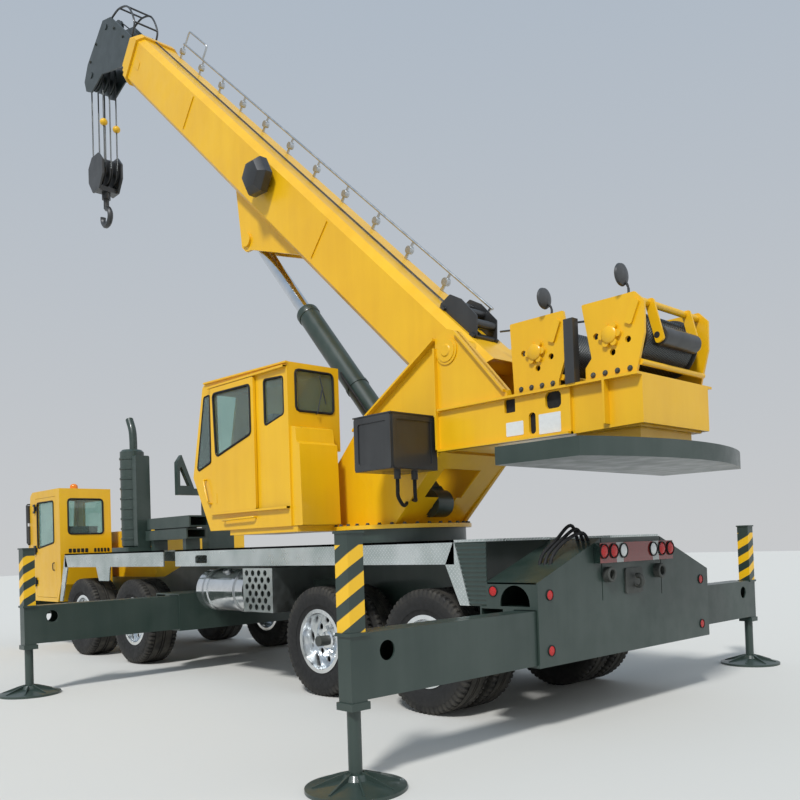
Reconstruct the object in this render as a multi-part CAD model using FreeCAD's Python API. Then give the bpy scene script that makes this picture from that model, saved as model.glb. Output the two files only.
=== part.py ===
import FreeCAD, Part
import math
import os

# Four-axle truck crane with a four-section telescopic boom, standing on its tyres with its outriggers out.
# Millimetres. X is forward, Y is left, Z is up, and the ground is Z = 0.
# Stations along X are measured from the slew axis, and the finished pieces are moved together at the end
# so that the origin is the bottom centre of the box round the whole crane.

V = FreeCAD.Vector

# Clearances shared by the whole machine
SEAT_GAP = 0.3
PIN_GAP = 0.05
SLIDE_GAP = 6

# Carrier: widths, heights and stations
CARRIER_HALF_WIDTH = 1290
FRAME_HALF_WIDTH = 450
FRAME_BOTTOM = 760
FRAME_TOP = 1440
FRAME_NOSE_TOP = 1080
FRAME_NOSE_START = 3250
FRAME_FRONT = 7410
DECK_SHEET = 20
DECK_FRONT = 5840
DECK_GAP_FRONT = 2830
DECK_GAP_REAR = 2540
SKIRT_DEPTH = 200
SKIRT_SHEET = 15
BUMPER_FRONT = 7500
BUMPER_BOTTOM = 500
BUMPER_TOP = 900

# Wheels and axles
FRONT_AXLES = (5460, 3880)
REAR_AXLES = (-60, -1510)
FRONT_TYRE_RADIUS = 548
FRONT_TYRE_WIDTH = 400
REAR_TYRE_RADIUS = 528
REAR_TYRE_WIDTH = 285
RIM_RADIUS = 292
TWIN_PITCH = 340
FRONT_WHEEL_Y = 1030
REAR_WHEEL_Y = 1070
KINGPIN_Y = 700
KINGPIN_RADIUS = 28
SPINDLE_RADIUS = 50
AXLE_TUBE_RADIUS = 75

# Outriggers
REAR_COLUMN_X = -2710
FRONT_COLUMN_X = 2555
BEAM_STAGGER = 317
COLUMN_Y = 2990
COLUMN_WIDTH = 120
COLUMN_TOP = 1527
COLUMN_BOTTOM = 470
BEAM_WIDTH = 200
BEAM_BOTTOM = 525
BEAM_TOP = 920
BEAM_WALL = 12
BEAM_LENGTH = 2400
BOX_WALL = 15
JACK_RADIUS = 42
JACK_ENGAGED = 620
FLOAT_RADIUS = 305
FLOAT_HEIGHT = 95

# Slewing ring and upper frame
RING_RADIUS = 700
RING_BORE = 460
RING_TOP = 1600
BASE_PLATE = 40
SIDE_Y = 520
SIDE_PLATE = 40
BEAM_FLANGE = 20
SHELF_Z = 2680
SHELF_BOTTOM_Z = 2285
FRAME_REAR_X = -3250

# Boom
PIVOT_X = -1278
PIVOT_Z = 3210
PIVOT_PIN = 75
PIVOT_BOSS = 130
BOOM_ANGLE = 42.5
BOOM_HALF_WIDTH = 330
BOOM_TOP = 140
BOOM_SHOULDER = 70
BOOM_CHINE = -460
BOOM_BOTTOM = -520
BOOM_WALL = 12
BOOM_STEP = 36
BOOM_FRONT = 8760
BOOM_FRONT_STEP = 140
BOOM_REAR = -280
INNER_REAR = 250
INNER_REAR_STEP = 200
COLLAR_LENGTH = 120
COLLAR_PROUD = 30
LUG_PIN_S = 4250
LUG_PIN_N = -930
LUG_Y = 145
LUG_PLATE = 40
HEAD_SHEAVE_S = 10300
HEAD_SHEAVE_N = -960
TOP_SHEAVE_S = 10230
TOP_SHEAVE_N = -160

# Lift cylinder
CYL_BASE_X = -550
CYL_BASE_Z = 1846
CYL_PIN = 60
CYL_EYE = 100
BARREL_RADIUS = 130
BARREL_LENGTH = 3200
BARREL_BORE_START = 300
ROD_RADIUS = 85
ROD_START = 1600

# Hoist rope and hook
ROPE_RADIUS = 10
SHEAVE_RADIUS = 230
GROOVE_RADIUS = 205
FALL_PITCH = 110
BLOCK_SHEAVE_Z = 7850
HOOK_LOW_Z = 6930
HOOK_BOWL = 140
HOOK_THICK = 45
HOOK_SWEEP = 285
HOOK_SHANK = 35

# Cabs
CAB_WALL = 40
GLASS = 8
OPERATOR_LEFT = 1205
OPERATOR_RIGHT = 540
OPERATOR_FLOOR = 1660
OPERATOR_SHOULDER = 2440
OPERATOR_LOWER_RIGHT = 690
DRIVER_REAR = 6100
DRIVER_FRONT = 7400
DRIVER_LEFT = 1250
DRIVER_FLOOR = 740
DRIVER_TOP = 2450


def box(x0, x1, y0, y1, z0, z1):
    return Part.makeBox(x1 - x0, y1 - y0, z1 - z0, V(x0, y0, z0))


def rod_x(y, z, radius, x0, x1):
    return Part.makeCylinder(radius, x1 - x0, V(x0, y, z), V(1, 0, 0))


def rod_y(x, z, radius, y0, y1):
    return Part.makeCylinder(radius, y1 - y0, V(x, y0, z), V(0, 1, 0))


def rod_z(x, y, radius, z0, z1):
    return Part.makeCylinder(radius, z1 - z0, V(x, y, z0), V(0, 0, 1))


def side_prism(outline, y0, y1):
    """A plate whose outline is given as (x, z) corners, from y0 to y1."""
    wire = Part.makePolygon([V(x, y0, z) for x, z in outline] + [V(outline[0][0], y0, outline[0][1])])
    return Part.Face(wire).extrude(V(0, y1 - y0, 0))


def cross_prism(outline, x0, x1):
    """A bar whose section is given as (y, z) corners, from x0 to x1."""
    wire = Part.makePolygon([V(x0, y, z) for y, z in outline] + [V(x0, outline[0][0], outline[0][1])])
    return Part.Face(wire).extrude(V(x1 - x0, 0, 0))


def turned(profile, x, z, side):
    """A solid of revolution about the line along Y through (x, z); the profile is (y, radius) corners."""
    points = [V(x, side * y, z + r) for y, r in profile]
    face = Part.Face(Part.makePolygon(points + [points[0]]))
    return face.revolve(V(x, 0, z), V(0, 1, 0), 360)


def fused(shapes):
    shape = shapes[0]
    if len(shapes) > 1:
        shape = shapes[0].multiFuse(shapes[1:])
    return shape.removeSplitter()


def mirrored(shape):
    return shape.mirror(V(0, 0, 0), V(0, 1, 0))


def sided(shape, side):
    return shape if side > 0 else mirrored(shape)


def raised(shape):
    """Carries a piece drawn along the level boom, pivot at the origin, to the boom's rest angle."""
    shape.rotate(V(0, 0, 0), V(0, 1, 0), -BOOM_ANGLE)
    shape.translate(V(PIVOT_X, 0, PIVOT_Z))
    return shape


def boom_point(s, n):
    angle = math.radians(BOOM_ANGLE)
    x = PIVOT_X + s * math.cos(angle) - n * math.sin(angle)
    z = PIVOT_Z + s * math.sin(angle) + n * math.cos(angle)
    return x, z


# Places that several pieces share
BEAM_NAMES = {("rear", 1): "rear_left", ("rear", -1): "rear_right",
              ("front", 1): "front_left", ("front", -1): "front_right"}
COLUMN_X = {"rear": REAR_COLUMN_X, "front": FRONT_COLUMN_X}
BEAM_OFFSET = (BEAM_WIDTH - COLUMN_WIDTH) / 2


def column_x(end, side):
    return COLUMN_X[end] + (BEAM_STAGGER if side < 0 else 0)


def beam_x(end, side):
    return column_x(end, side) + BEAM_OFFSET


def box_span(end):
    rear = beam_x(end, 1) - BEAM_WIDTH / 2 - SLIDE_GAP - BOX_WALL
    front = beam_x(end, -1) + BEAM_WIDTH / 2 + SLIDE_GAP + BOX_WALL
    return rear, front


BOX_BOTTOM = BEAM_BOTTOM - SLIDE_GAP - BOX_WALL
BOX_TOP = BEAM_TOP + SLIDE_GAP + BOX_WALL
DECK_TOP = FRAME_TOP + DECK_SHEET
DECK_REAR = box_span("rear")[0]
SWIVEL_Z = RING_TOP + SEAT_GAP
HEAD_X, HEAD_Z = boom_point(HEAD_SHEAVE_S, HEAD_SHEAVE_N)
LUG_X, LUG_Z = boom_point(LUG_PIN_S, LUG_PIN_N)
CYL_ANGLE = math.degrees(math.atan2(LUG_Z - CYL_BASE_Z, LUG_X - CYL_BASE_X))
CYL_LENGTH = math.hypot(LUG_Z - CYL_BASE_Z, LUG_X - CYL_BASE_X)


# Carrier

def make_chassis():
    rear0, rear1 = box_span("rear")
    front0, front1 = box_span("front")
    outline = [
        (rear0, BOX_TOP), (rear1, BOX_TOP), (rear1, FRAME_BOTTOM), (front0, FRAME_BOTTOM), (front0, BOX_TOP),
        (front1, BOX_TOP), (front1, FRAME_BOTTOM), (FRAME_FRONT, FRAME_BOTTOM), (FRAME_FRONT, FRAME_NOSE_TOP),
        (FRAME_NOSE_START + 1200, FRAME_NOSE_TOP), (FRAME_NOSE_START, FRAME_TOP), (rear0, FRAME_TOP),
    ]
    frame = side_prism(outline, -FRAME_HALF_WIDTH, FRAME_HALF_WIDTH)
    ring = rod_z(0, 0, RING_RADIUS, FRAME_TOP, RING_TOP).cut(rod_z(0, 0, RING_BORE, FRAME_TOP, RING_TOP + 1))
    saddle = rod_z(0, 0, RING_RADIUS + 60, FRAME_TOP - 60, FRAME_TOP)
    bumper = box(FRAME_FRONT, BUMPER_FRONT, -CARRIER_HALF_WIDTH + 40, CARRIER_HALF_WIDTH - 40,
                 BUMPER_BOTTOM, BUMPER_TOP)
    return fused([frame, ring, saddle, bumper])


def make_outrigger_boxes():
    boxes = []
    for end in ("rear", "front"):
        x0, x1 = box_span(end)
        shell = box(x0, x1, -CARRIER_HALF_WIDTH, CARRIER_HALF_WIDTH, BOX_BOTTOM, BOX_TOP)
        for side in (1, -1):
            centre = beam_x(end, side)
            half = BEAM_WIDTH / 2 + SLIDE_GAP
            tunnel = box(centre - half, centre + half, -CARRIER_HALF_WIDTH - 1, CARRIER_HALF_WIDTH + 1,
                         BEAM_BOTTOM - SLIDE_GAP, BEAM_TOP + SLIDE_GAP)
            pad_in = CARRIER_HALF_WIDTH - 160
            pad_y = (pad_in, CARRIER_HALF_WIDTH) if side > 0 else (-CARRIER_HALF_WIDTH, -pad_in)
            pad = box(centre - half, centre + half, pad_y[0], pad_y[1],
                      BEAM_BOTTOM - SLIDE_GAP, BEAM_BOTTOM - SEAT_GAP)
            shell = shell.cut(tunnel).fuse(pad)
        boxes.append(shell.removeSplitter())
    return Part.makeCompound(boxes)


def make_decks():
    pieces = []
    spans = {1: ((DECK_REAR, DECK_GAP_REAR), (DECK_GAP_FRONT, DECK_FRONT)),
             -1: ((DECK_REAR, DECK_GAP_REAR), (DECK_GAP_FRONT, 4900))}
    for side in (1, -1):
        for x0, x1 in spans[side]:
            inner = FRAME_HALF_WIDTH
            outer = CARRIER_HALF_WIDTH
            sheet = box(x0, x1, inner, outer, FRAME_TOP, DECK_TOP)
            skirt = box(x0, x1, outer - SKIRT_SHEET, outer, DECK_TOP - SKIRT_DEPTH, DECK_TOP)
            parts = [sheet, skirt]
            count = max(2, round((x1 - x0) / 1300) + 1)
            for i in range(count):
                x = x0 + (x1 - x0 - 12) * i / (count - 1)
                bracket = cross_prism([(inner, 1270), (inner, FRAME_TOP), (outer, FRAME_TOP), (outer, 1330)],
                                      x, x + 12)
                parts.append(bracket)
            deck = fused(parts)
            ring_room = rod_z(0, 0, RING_RADIUS + 62, 1000, 2000)
            pieces.append(sided(deck, side).cut(ring_room))
    return Part.makeCompound(pieces)


def make_axles():
    pieces = []
    for x in FRONT_AXLES:
        z = FRONT_TYRE_RADIUS
        beam = cross_prism([(-620, z + 60), (-520, z - 60), (520, z - 60), (620, z + 60)], x - 60, x + 60)
        arms = [beam]
        for side in (1, -1):
            boss = rod_z(x, side * KINGPIN_Y, 60, z - 93, z + 93)
            tie = box(x - 50, x + 50, min(side * 560, side * KINGPIN_Y), max(side * 560, side * KINGPIN_Y),
                      z - 50, z + 50)
            spring = box(x - 220, x + 220, side * 380 - 45, side * 380 + 45, z + 60, FRAME_BOTTOM)
            arms += [boss, tie, spring]
        axle = fused(arms)
        bores = [rod_z(x, side * KINGPIN_Y, KINGPIN_RADIUS + PIN_GAP, z - 200, z + 200) for side in (1, -1)]
        pieces.append(axle.cut(bores))
    for x in REAR_AXLES:
        z = REAR_TYRE_RADIUS
        tube = rod_y(x, z, AXLE_TUBE_RADIUS, -700, 700)
        spindle = rod_y(x, z, SPINDLE_RADIUS, -1200, 1200)
        carrier = rod_y(x, z, 200, -120, 120)
        nose = rod_x(0, z, 90, x - 320, x + 320)
        parts = [tube, spindle, carrier, nose]
        for side in (1, -1):
            parts.append(box(x - 260, x + 260, side * 380 - 50, side * 380 + 50, z + 40, FRAME_BOTTOM))
        pieces.append(fused(parts))
    return Part.makeCompound(pieces)


def make_knuckle(x, side):
    z = FRONT_TYRE_RADIUS
    pin = rod_z(x, KINGPIN_Y, KINGPIN_RADIUS, z - 135, z + 135)
    top = box(x - 55, x + 55, KINGPIN_Y - 55, KINGPIN_Y + 110, z + 93 + SEAT_GAP, z + 135)
    low = box(x - 55, x + 55, KINGPIN_Y - 55, KINGPIN_Y + 110, z - 135, z - 93 - SEAT_GAP)
    web = box(x - 55, x + 55, KINGPIN_Y + 75, KINGPIN_Y + 110, z - 135, z + 135)
    spindle = rod_y(x, z, SPINDLE_RADIUS, KINGPIN_Y + 100, FRONT_WHEEL_Y + 130)
    return sided(fused([pin, top, low, web, spindle]), side)


def tyre_ring(y, width, radius):
    """A tyre's section: beads on the rim, bulging walls and a flat tread with rounded shoulders."""
    half = width / 2
    bead = half * 0.72
    inner = RIM_RADIUS + SEAT_GAP
    return [(y - bead, inner), (y - bead, inner + 35), (y - half, inner + 120), (y - half, radius - 60),
            (y - half + 30, radius - 12), (y - half + 60, radius), (y + half - 60, radius),
            (y + half - 30, radius - 12), (y + half, radius - 60), (y + half, inner + 120),
            (y + bead, inner + 35), (y + bead, inner)]


def rim_ring(y, width, dish):
    """A rim's section: barrel with flanges, a dished disc and a hub."""
    bead = width / 2 * 0.72
    return [(y - bead - 15, RIM_RADIUS + 18), (y - bead - 15, RIM_RADIUS - 20), (dish - 10, RIM_RADIUS - 30),
            (dish - 10, 160), (dish - 40, 120), (dish - 40, SPINDLE_RADIUS + PIN_GAP),
            (dish + 60, SPINDLE_RADIUS + PIN_GAP), (dish + 60, 95), (dish + 15, 130), (dish + 15, RIM_RADIUS - 30),
            (y + bead + 15, RIM_RADIUS - 20), (y + bead + 15, RIM_RADIUS + 18), (y + bead, RIM_RADIUS + 18),
            (y + bead, RIM_RADIUS), (y - bead, RIM_RADIUS), (y - bead, RIM_RADIUS + 18)]


def make_front_tyre(x, side):
    return turned(tyre_ring(FRONT_WHEEL_Y, FRONT_TYRE_WIDTH, FRONT_TYRE_RADIUS), x, FRONT_TYRE_RADIUS, side)


def make_front_rim(x, side):
    return turned(rim_ring(FRONT_WHEEL_Y, FRONT_TYRE_WIDTH, FRONT_WHEEL_Y + 40), x, FRONT_TYRE_RADIUS, side)


def make_rear_tyres(x, side):
    tyres = []
    for y in (REAR_WHEEL_Y, REAR_WHEEL_Y - TWIN_PITCH):
        tyres.append(turned(tyre_ring(y, REAR_TYRE_WIDTH, REAR_TYRE_RADIUS), x, REAR_TYRE_RADIUS, side))
    return Part.makeCompound(tyres)


def make_rear_rims(x, side):
    outer = turned(rim_ring(REAR_WHEEL_Y, REAR_TYRE_WIDTH, REAR_WHEEL_Y - 70), x, REAR_TYRE_RADIUS, side)
    middle = REAR_WHEEL_Y - TWIN_PITCH
    inner = turned(rim_ring(middle, REAR_TYRE_WIDTH, middle + 70), x, REAR_TYRE_RADIUS, side)
    y0, y1 = middle + 120, REAR_WHEEL_Y - 100
    spacer = rod_y(x, REAR_TYRE_RADIUS, 120, y0, y1).cut(
        rod_y(x, REAR_TYRE_RADIUS, SPINDLE_RADIUS + PIN_GAP, y0 - 1, y1 + 1))
    return fused([outer, inner, sided(spacer, side)])


def make_beam(end, side):
    """An outrigger beam: a box tube with the jack's column at its outer end."""
    centre = beam_x(end, side)
    column = column_x(end, side)
    outer = COLUMN_Y - COLUMN_WIDTH / 2
    half = BEAM_WIDTH / 2
    tube = box(centre - half, centre + half, outer - BEAM_LENGTH, outer, BEAM_BOTTOM, BEAM_TOP)
    hollow = box(centre - half + BEAM_WALL, centre + half - BEAM_WALL, outer - BEAM_LENGTH - 1, outer - 30,
                 BEAM_BOTTOM + BEAM_WALL, BEAM_TOP - BEAM_WALL)
    half_c = COLUMN_WIDTH / 2
    post = box(column - half_c, column + half_c, outer, COLUMN_Y + half_c, COLUMN_BOTTOM, COLUMN_TOP)
    bore = rod_z(column, COLUMN_Y, JACK_RADIUS + PIN_GAP, COLUMN_BOTTOM - 1, COLUMN_TOP - 20)
    hole = rod_x(outer - 170, BEAM_TOP - 120, 62, centre - half - 1, centre + half + 1)
    shape = fused([tube.cut(hollow), post]).cut([bore, hole])
    return sided(shape, side)


def make_jack(end, side):
    column = column_x(end, side)
    rod = rod_z(column, COLUMN_Y, JACK_RADIUS, FLOAT_HEIGHT - 10, COLUMN_BOTTOM + JACK_ENGAGED)
    profile = [(0, 0), (FLOAT_RADIUS, 0), (FLOAT_RADIUS, 22), (FLOAT_RADIUS - 40, 30), (90, 62), (70, FLOAT_HEIGHT),
               (0, FLOAT_HEIGHT)]
    points = [V(column + r, COLUMN_Y, z) for r, z in profile]
    face = Part.Face(Part.makePolygon(points + [points[0]]))
    pad = face.revolve(V(column, COLUMN_Y, 0), V(0, 0, 1), 360)
    return sided(fused([rod, pad]), side)


def make_fuel_tank():
    x0, x1 = 1190, 2150
    y, z, radius = 1010, 985, 235
    tank = rod_x(y, z, radius, x0, x1)
    straps = [rod_x(y, z, radius + 10, x, x + 60) for x in (x0 + 180, x1 - 240)]
    hangers = [box(x, x + 60, FRAME_HALF_WIDTH, y, z + 60, z + 160) for x in (x0 + 180, x1 - 240)]
    return fused([tank] + straps + hangers)


def make_step_box():
    shell = box(560, 1100, 750, 1285, 775, 1240)
    hollow = box(575, 1085, 700, 1270, 790, 1225)
    bracket = box(560, 1100, FRAME_HALF_WIDTH, 750, 1100, 1240)
    return fused([shell.cut(hollow), bracket])


def make_exhaust_stack():
    base = box(4100, 4560, FRAME_HALF_WIDTH + 150, 1180, DECK_TOP, DECK_TOP + 60)
    stack = rod_z(4330, 900, 225, DECK_TOP + 60, 2860)
    pipe = rod_z(4330, 900, 65, 2860, 3300)
    return fused([base, stack, pipe])


def make_deck_stowage():
    """The boom rest's fork on its post, and the long dark lockers on the left deck."""
    x0, x1 = 3640, 3760
    post = box(x0 - 60, x1 + 60, -200, 200, 1270, 2200)
    saddle = box(x0, x1, -500, 500, 2200, 2290)
    horns = []
    for side in (1, -1):
        outline = [(x0 - 20, 2290), (x1 + 100, 2290), (x0 + 60, 2760), (x0 - 20, 2760)]
        y0, y1 = sorted((side * 440, side * 500))
        horns.append(side_prism(outline, y0, y1))
    rest = fused([post, saddle] + horns).cut(make_chassis())
    lockers = [box(2900, 4040, 620, 1000, DECK_TOP, 1960)]
    return Part.makeCompound([rest] + lockers)


def make_engine_hood():
    x0, x1, y0, y1, top = 4950, FRAME_FRONT - 20, -1230, 300, 2120
    shell = box(x0, x1, y0, y1, FRAME_NOSE_TOP, top)
    hollow = box(x0 + 30, x1 - 30, y0 + 30, y1 - 30, FRAME_NOSE_TOP - 1, top - 30)
    wheel_room = box(x0 - 1, x1 + 1, y0 - 1, -FRAME_HALF_WIDTH - 10, FRAME_NOSE_TOP - 1, 1260)
    return shell.cut([hollow, wheel_room])


def make_engine():
    return box(5150, 6350, -420, 240, FRAME_NOSE_TOP, 1980)


# Driver's cab on the carrier

DRIVER_OUTLINE = [(DRIVER_REAR + 130, DRIVER_FLOOR), (DRIVER_FRONT, DRIVER_FLOOR), (DRIVER_FRONT, 1500),
                  (DRIVER_FRONT - 130, DRIVER_TOP - 60), (DRIVER_FRONT - 220, DRIVER_TOP), (DRIVER_REAR, DRIVER_TOP),
                  (DRIVER_REAR, DRIVER_FLOOR + 260)]
DRIVER_DOOR = (6260, 7060, 800, 2340)
DOOR_GAP = 5
DRIVER_HINGE_X = 7057
DRIVER_HINGE_Y = 1266
HINGE_PIN = 8
HINGE_BOSS = 13
HINGE_BARREL = 14
HINGE_LEVELS = (1000, 1500, 2150)
HINGE_BARREL_LENGTH = 70
HINGE_BOSS_LENGTH = 35
DRIVER_DOOR_WINDOW = [(6330, 1640), (6990, 1560), (6990, 2270), (6330, 2270)]


def grown(outline, by):
    """An outline moved outwards (or inwards, for a negative value) by a wall's thickness."""
    wire = Part.makePolygon([V(x, 0, z) for x, z in outline] + [V(outline[0][0], 0, outline[0][1])])
    return wire.makeOffset2D(by, 2)


def inner_prism(outline, wall, y0, y1):
    wire = grown(outline, -wall)
    face = Part.Face(wire)
    face.translate(V(0, y0, 0))
    return face.extrude(V(0, y1 - y0, 0))


def make_driver_cab():
    right = FRAME_HALF_WIDTH + SEAT_GAP
    shell = side_prism(DRIVER_OUTLINE, right, DRIVER_LEFT)
    room = inner_prism(DRIVER_OUTLINE, CAB_WALL, right + CAB_WALL, DRIVER_LEFT - CAB_WALL)
    x0, x1, z0, z1 = DRIVER_DOOR
    doorway = box(x0, x1, DRIVER_LEFT - CAB_WALL - 1, DRIVER_LEFT + 1, z0, z1)
    rear_window = box(DRIVER_REAR - 1, DRIVER_REAR + CAB_WALL + 1, right + 130, DRIVER_LEFT - 130, 1760, 2290)
    front_window = box(DRIVER_FRONT - 230, DRIVER_FRONT + 1, right + 90, DRIVER_LEFT - 90, 1580, 2330)
    right_window = box(6300, 7050, right - 1, right + CAB_WALL + 1, 1640, 2290)
    shell = shell.cut([room, doorway, rear_window, front_window, right_window])
    hinges = []
    for z in HINGE_LEVELS:
        top = z + HINGE_BARREL_LENGTH
        hinges.append(rod_z(DRIVER_HINGE_X, DRIVER_HINGE_Y, HINGE_PIN, z - HINGE_BOSS_LENGTH,
                            top + HINGE_BOSS_LENGTH))
        for z0, z1 in ((z - HINGE_BOSS_LENGTH, z - SEAT_GAP), (top + SEAT_GAP, top + HINGE_BOSS_LENGTH)):
            hinges.append(rod_z(DRIVER_HINGE_X, DRIVER_HINGE_Y, HINGE_BOSS, z0, z1))
            hinges.append(box(x1, x1 + 40, DRIVER_LEFT, DRIVER_HINGE_Y + HINGE_BOSS, z0, z1))
    return fused([shell] + hinges)


def make_driver_glass():
    right = FRAME_HALF_WIDTH + SEAT_GAP
    rear = box(DRIVER_REAR + 15, DRIVER_REAR + 15 + GLASS, right + 130, DRIVER_LEFT - 130, 1760, 2290)
    side = box(6300, 7050, right + 15, right + 15 + GLASS, 1640, 2290)
    slope = 130 / (DRIVER_TOP - 60 - 1500)
    x_low = DRIVER_FRONT - (1580 - 1500) * slope - 25
    x_high = DRIVER_FRONT - (2330 - 1500) * slope - 25
    front = side_prism([(x_low, 1580), (x_low + GLASS, 1580), (x_high + GLASS, 2330), (x_high, 2330)],
                       right + 90, DRIVER_LEFT - 90)
    return Part.makeCompound([rear, side, front])


def make_driver_door():
    x0, x1, z0, z1 = DRIVER_DOOR
    panel = box(x0 + DOOR_GAP, x1 - DOOR_GAP, DRIVER_LEFT - CAB_WALL, DRIVER_LEFT, z0 + DOOR_GAP, z1 - DOOR_GAP)
    window = side_prism(DRIVER_DOOR_WINDOW, DRIVER_LEFT - CAB_WALL - 1, DRIVER_LEFT + 1)
    leaves = []
    bores = []
    for z in HINGE_LEVELS:
        top = z + HINGE_BARREL_LENGTH
        leaves.append(rod_z(DRIVER_HINGE_X, DRIVER_HINGE_Y, HINGE_BARREL, z, top))
        leaves.append(box(x1 - 60, DRIVER_HINGE_X, DRIVER_LEFT, DRIVER_HINGE_Y - HINGE_PIN - 2, z, top))
        bores.append(rod_z(DRIVER_HINGE_X, DRIVER_HINGE_Y, HINGE_PIN + PIN_GAP, z - 1, top + 1))
    panel = fused([panel] + leaves).cut([window] + bores)
    pane = side_prism(DRIVER_DOOR_WINDOW, DRIVER_LEFT - 25, DRIVER_LEFT - 25 + GLASS)
    return Part.makeCompound([panel, pane])


def make_driver_interior():
    floor = DRIVER_FLOOR + CAB_WALL
    base = box(6350, 6800, 620, 1050, floor, floor + 350)
    seat = box(6330, 6830, 600, 1070, floor + 350, floor + 480)
    back = side_prism([(6330, floor + 480), (6450, floor + 480), (6330, floor + 1100), (6230, floor + 1100)], 610, 1060)
    dash = box(7080, 7300, 500, 1200, floor, 1480)
    return Part.makeCompound([fused([base, seat, back]), dash])


# Upper structure

def make_upper_frame():
    plates = []
    outline = [(-430, SWIVEL_Z), (700, SWIVEL_Z), (560, 2150), (61, 2640), (-1100, 3330), (-1278, 3413),
               (-1400, 3370), (-1955, 2745), (-1975, SHELF_Z), (FRAME_REAR_X, SHELF_Z),
               (FRAME_REAR_X, 2300), (-2615, SHELF_BOTTOM_Z), (-1131, SHELF_BOTTOM_Z)]
    for side in (1, -1):
        y0, y1 = sorted((side * (SIDE_Y - SIDE_PLATE), side * SIDE_Y))
        plate = side_prism(outline, y0, y1)
        y0, y1 = sorted((side * SIDE_Y, side * (SIDE_Y + 70)))
        shelf = box(FRAME_REAR_X, -1165, y0, y1, SHELF_Z - BEAM_FLANGE, SHELF_Z)
        lip = box(-2615, -1131, y0, y1, SHELF_BOTTOM_Z, SHELF_BOTTOM_Z + BEAM_FLANGE)
        plates += [plate, shelf, lip]
    base = rod_z(0, 0, RING_RADIUS + 60, SWIVEL_Z, SWIVEL_Z + BASE_PLATE).cut(
        rod_z(0, 0, RING_BORE, SWIVEL_Z - 1, SWIVEL_Z + BASE_PLATE + 1))
    pivot = rod_y(PIVOT_X, PIVOT_Z, PIVOT_PIN, -SIDE_Y - 20, SIDE_Y + 20)
    cyl_pin = rod_y(CYL_BASE_X, CYL_BASE_Z, CYL_PIN, -SIDE_Y, SIDE_Y)
    inner = SIDE_Y - SIDE_PLATE
    floor = box(-3200, -1300, -inner, inner, SHELF_BOTTOM_Z, SHELF_BOTTOM_Z + 20)
    rear = box(FRAME_REAR_X, FRAME_REAR_X + 30, -inner, inner, 2300, SHELF_Z)
    lower = box(-3150, -2560, -400, 400, 2160, SHELF_BOTTOM_Z)
    cab_arm = box(250, 1500, SIDE_Y, OPERATOR_LEFT - 30, SWIVEL_Z, OPERATOR_FLOOR)
    return fused(plates + [base, pivot, cyl_pin, floor, rear, lower, cab_arm])


CW_FRONT = -2400
CW_CORNER = -3170
CW_REAR = -3450
CW_HALF = 1250
CW_BOTTOM = 2020
CW_TOP = 2160


def make_counterweight():
    edges = [
        Part.LineSegment(V(CW_FRONT, -CW_HALF, CW_BOTTOM), V(CW_FRONT, CW_HALF, CW_BOTTOM)).toShape(),
        Part.LineSegment(V(CW_FRONT, CW_HALF, CW_BOTTOM), V(CW_CORNER, CW_HALF, CW_BOTTOM)).toShape(),
        Part.Arc(V(CW_CORNER, CW_HALF, CW_BOTTOM), V(CW_REAR, 0, CW_BOTTOM),
                 V(CW_CORNER, -CW_HALF, CW_BOTTOM)).toShape(),
        Part.LineSegment(V(CW_CORNER, -CW_HALF, CW_BOTTOM), V(CW_FRONT, -CW_HALF, CW_BOTTOM)).toShape(),
    ]
    return Part.Face(Part.Wire(edges)).extrude(V(0, 0, CW_TOP - CW_BOTTOM))


def make_valve_box():
    return box(-1084, -575, SIDE_Y, 1100, 2120, 2620)


# Each winch: name, rear edge, front edge, drum centre X
WINCHES = (("main", -3250, -2750, -2990), ("auxiliary", -2560, -1990, -2270))
WINCH_TOP = 3310
DRUM_Z = 3010
DRUM_RADIUS = 190
DRUM_FLANGE = 250
DRUM_HALF = 400
WINCH_PLATE_Y = SIDE_Y - SIDE_PLATE


def make_hoist_frames():
    pieces = []
    for _, x0, x1, centre in WINCHES:
        for side in (1, -1):
            outline = [(x0, SHELF_Z), (x1, SHELF_Z), (x1 + 20, WINCH_TOP - 20), (x0 + 20, WINCH_TOP)]
            y0, y1 = sorted((side * (WINCH_PLATE_Y + 10), side * (WINCH_PLATE_Y + 35)))
            plate = side_prism(outline, y0, y1)
            hub_y = sorted((side * (WINCH_PLATE_Y + 35), side * (WINCH_PLATE_Y + 75)))
            hub = rod_y(centre, DRUM_Z, 110, hub_y[0], hub_y[1])
            pieces.append(fused([plate, hub]))
    return Part.makeCompound(pieces)


def make_winch_drums():
    pieces = []
    edge = WINCH_PLATE_Y + 10
    for _, _, _, centre in WINCHES:
        barrel = rod_y(centre, DRUM_Z, DRUM_RADIUS, -DRUM_HALF, DRUM_HALF)
        flanges = [rod_y(centre, DRUM_Z, DRUM_FLANGE, y, y + 20) for y in (-DRUM_HALF, DRUM_HALF - 20)]
        shaft = rod_y(centre, DRUM_Z, 60, -edge, edge)
        pieces.append(fused([barrel, shaft] + flanges))
    pieces.append(box(-2700, -2610, SIDE_Y + 5, SIDE_Y + 65, SHELF_Z, 3200))
    return Part.makeCompound(pieces)


# Operator's cab on the upper structure

OPERATOR_OUTLINE = [(314, OPERATOR_FLOOR), (1860, OPERATOR_FLOOR), (2215, 2290), (1960, 3300), (1900, 3350),
                    (314, 3320)]
OPERATOR_DOOR = (880, 1740, 1880, 3250)
OPERATOR_DOOR_WINDOW = [(940, 2660), (1640, 2480), (1680, 3205), (940, 3190)]
OPERATOR_QUARTER = [(390, 2800), (735, 2715), (735, 3200), (390, 3180)]


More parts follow.
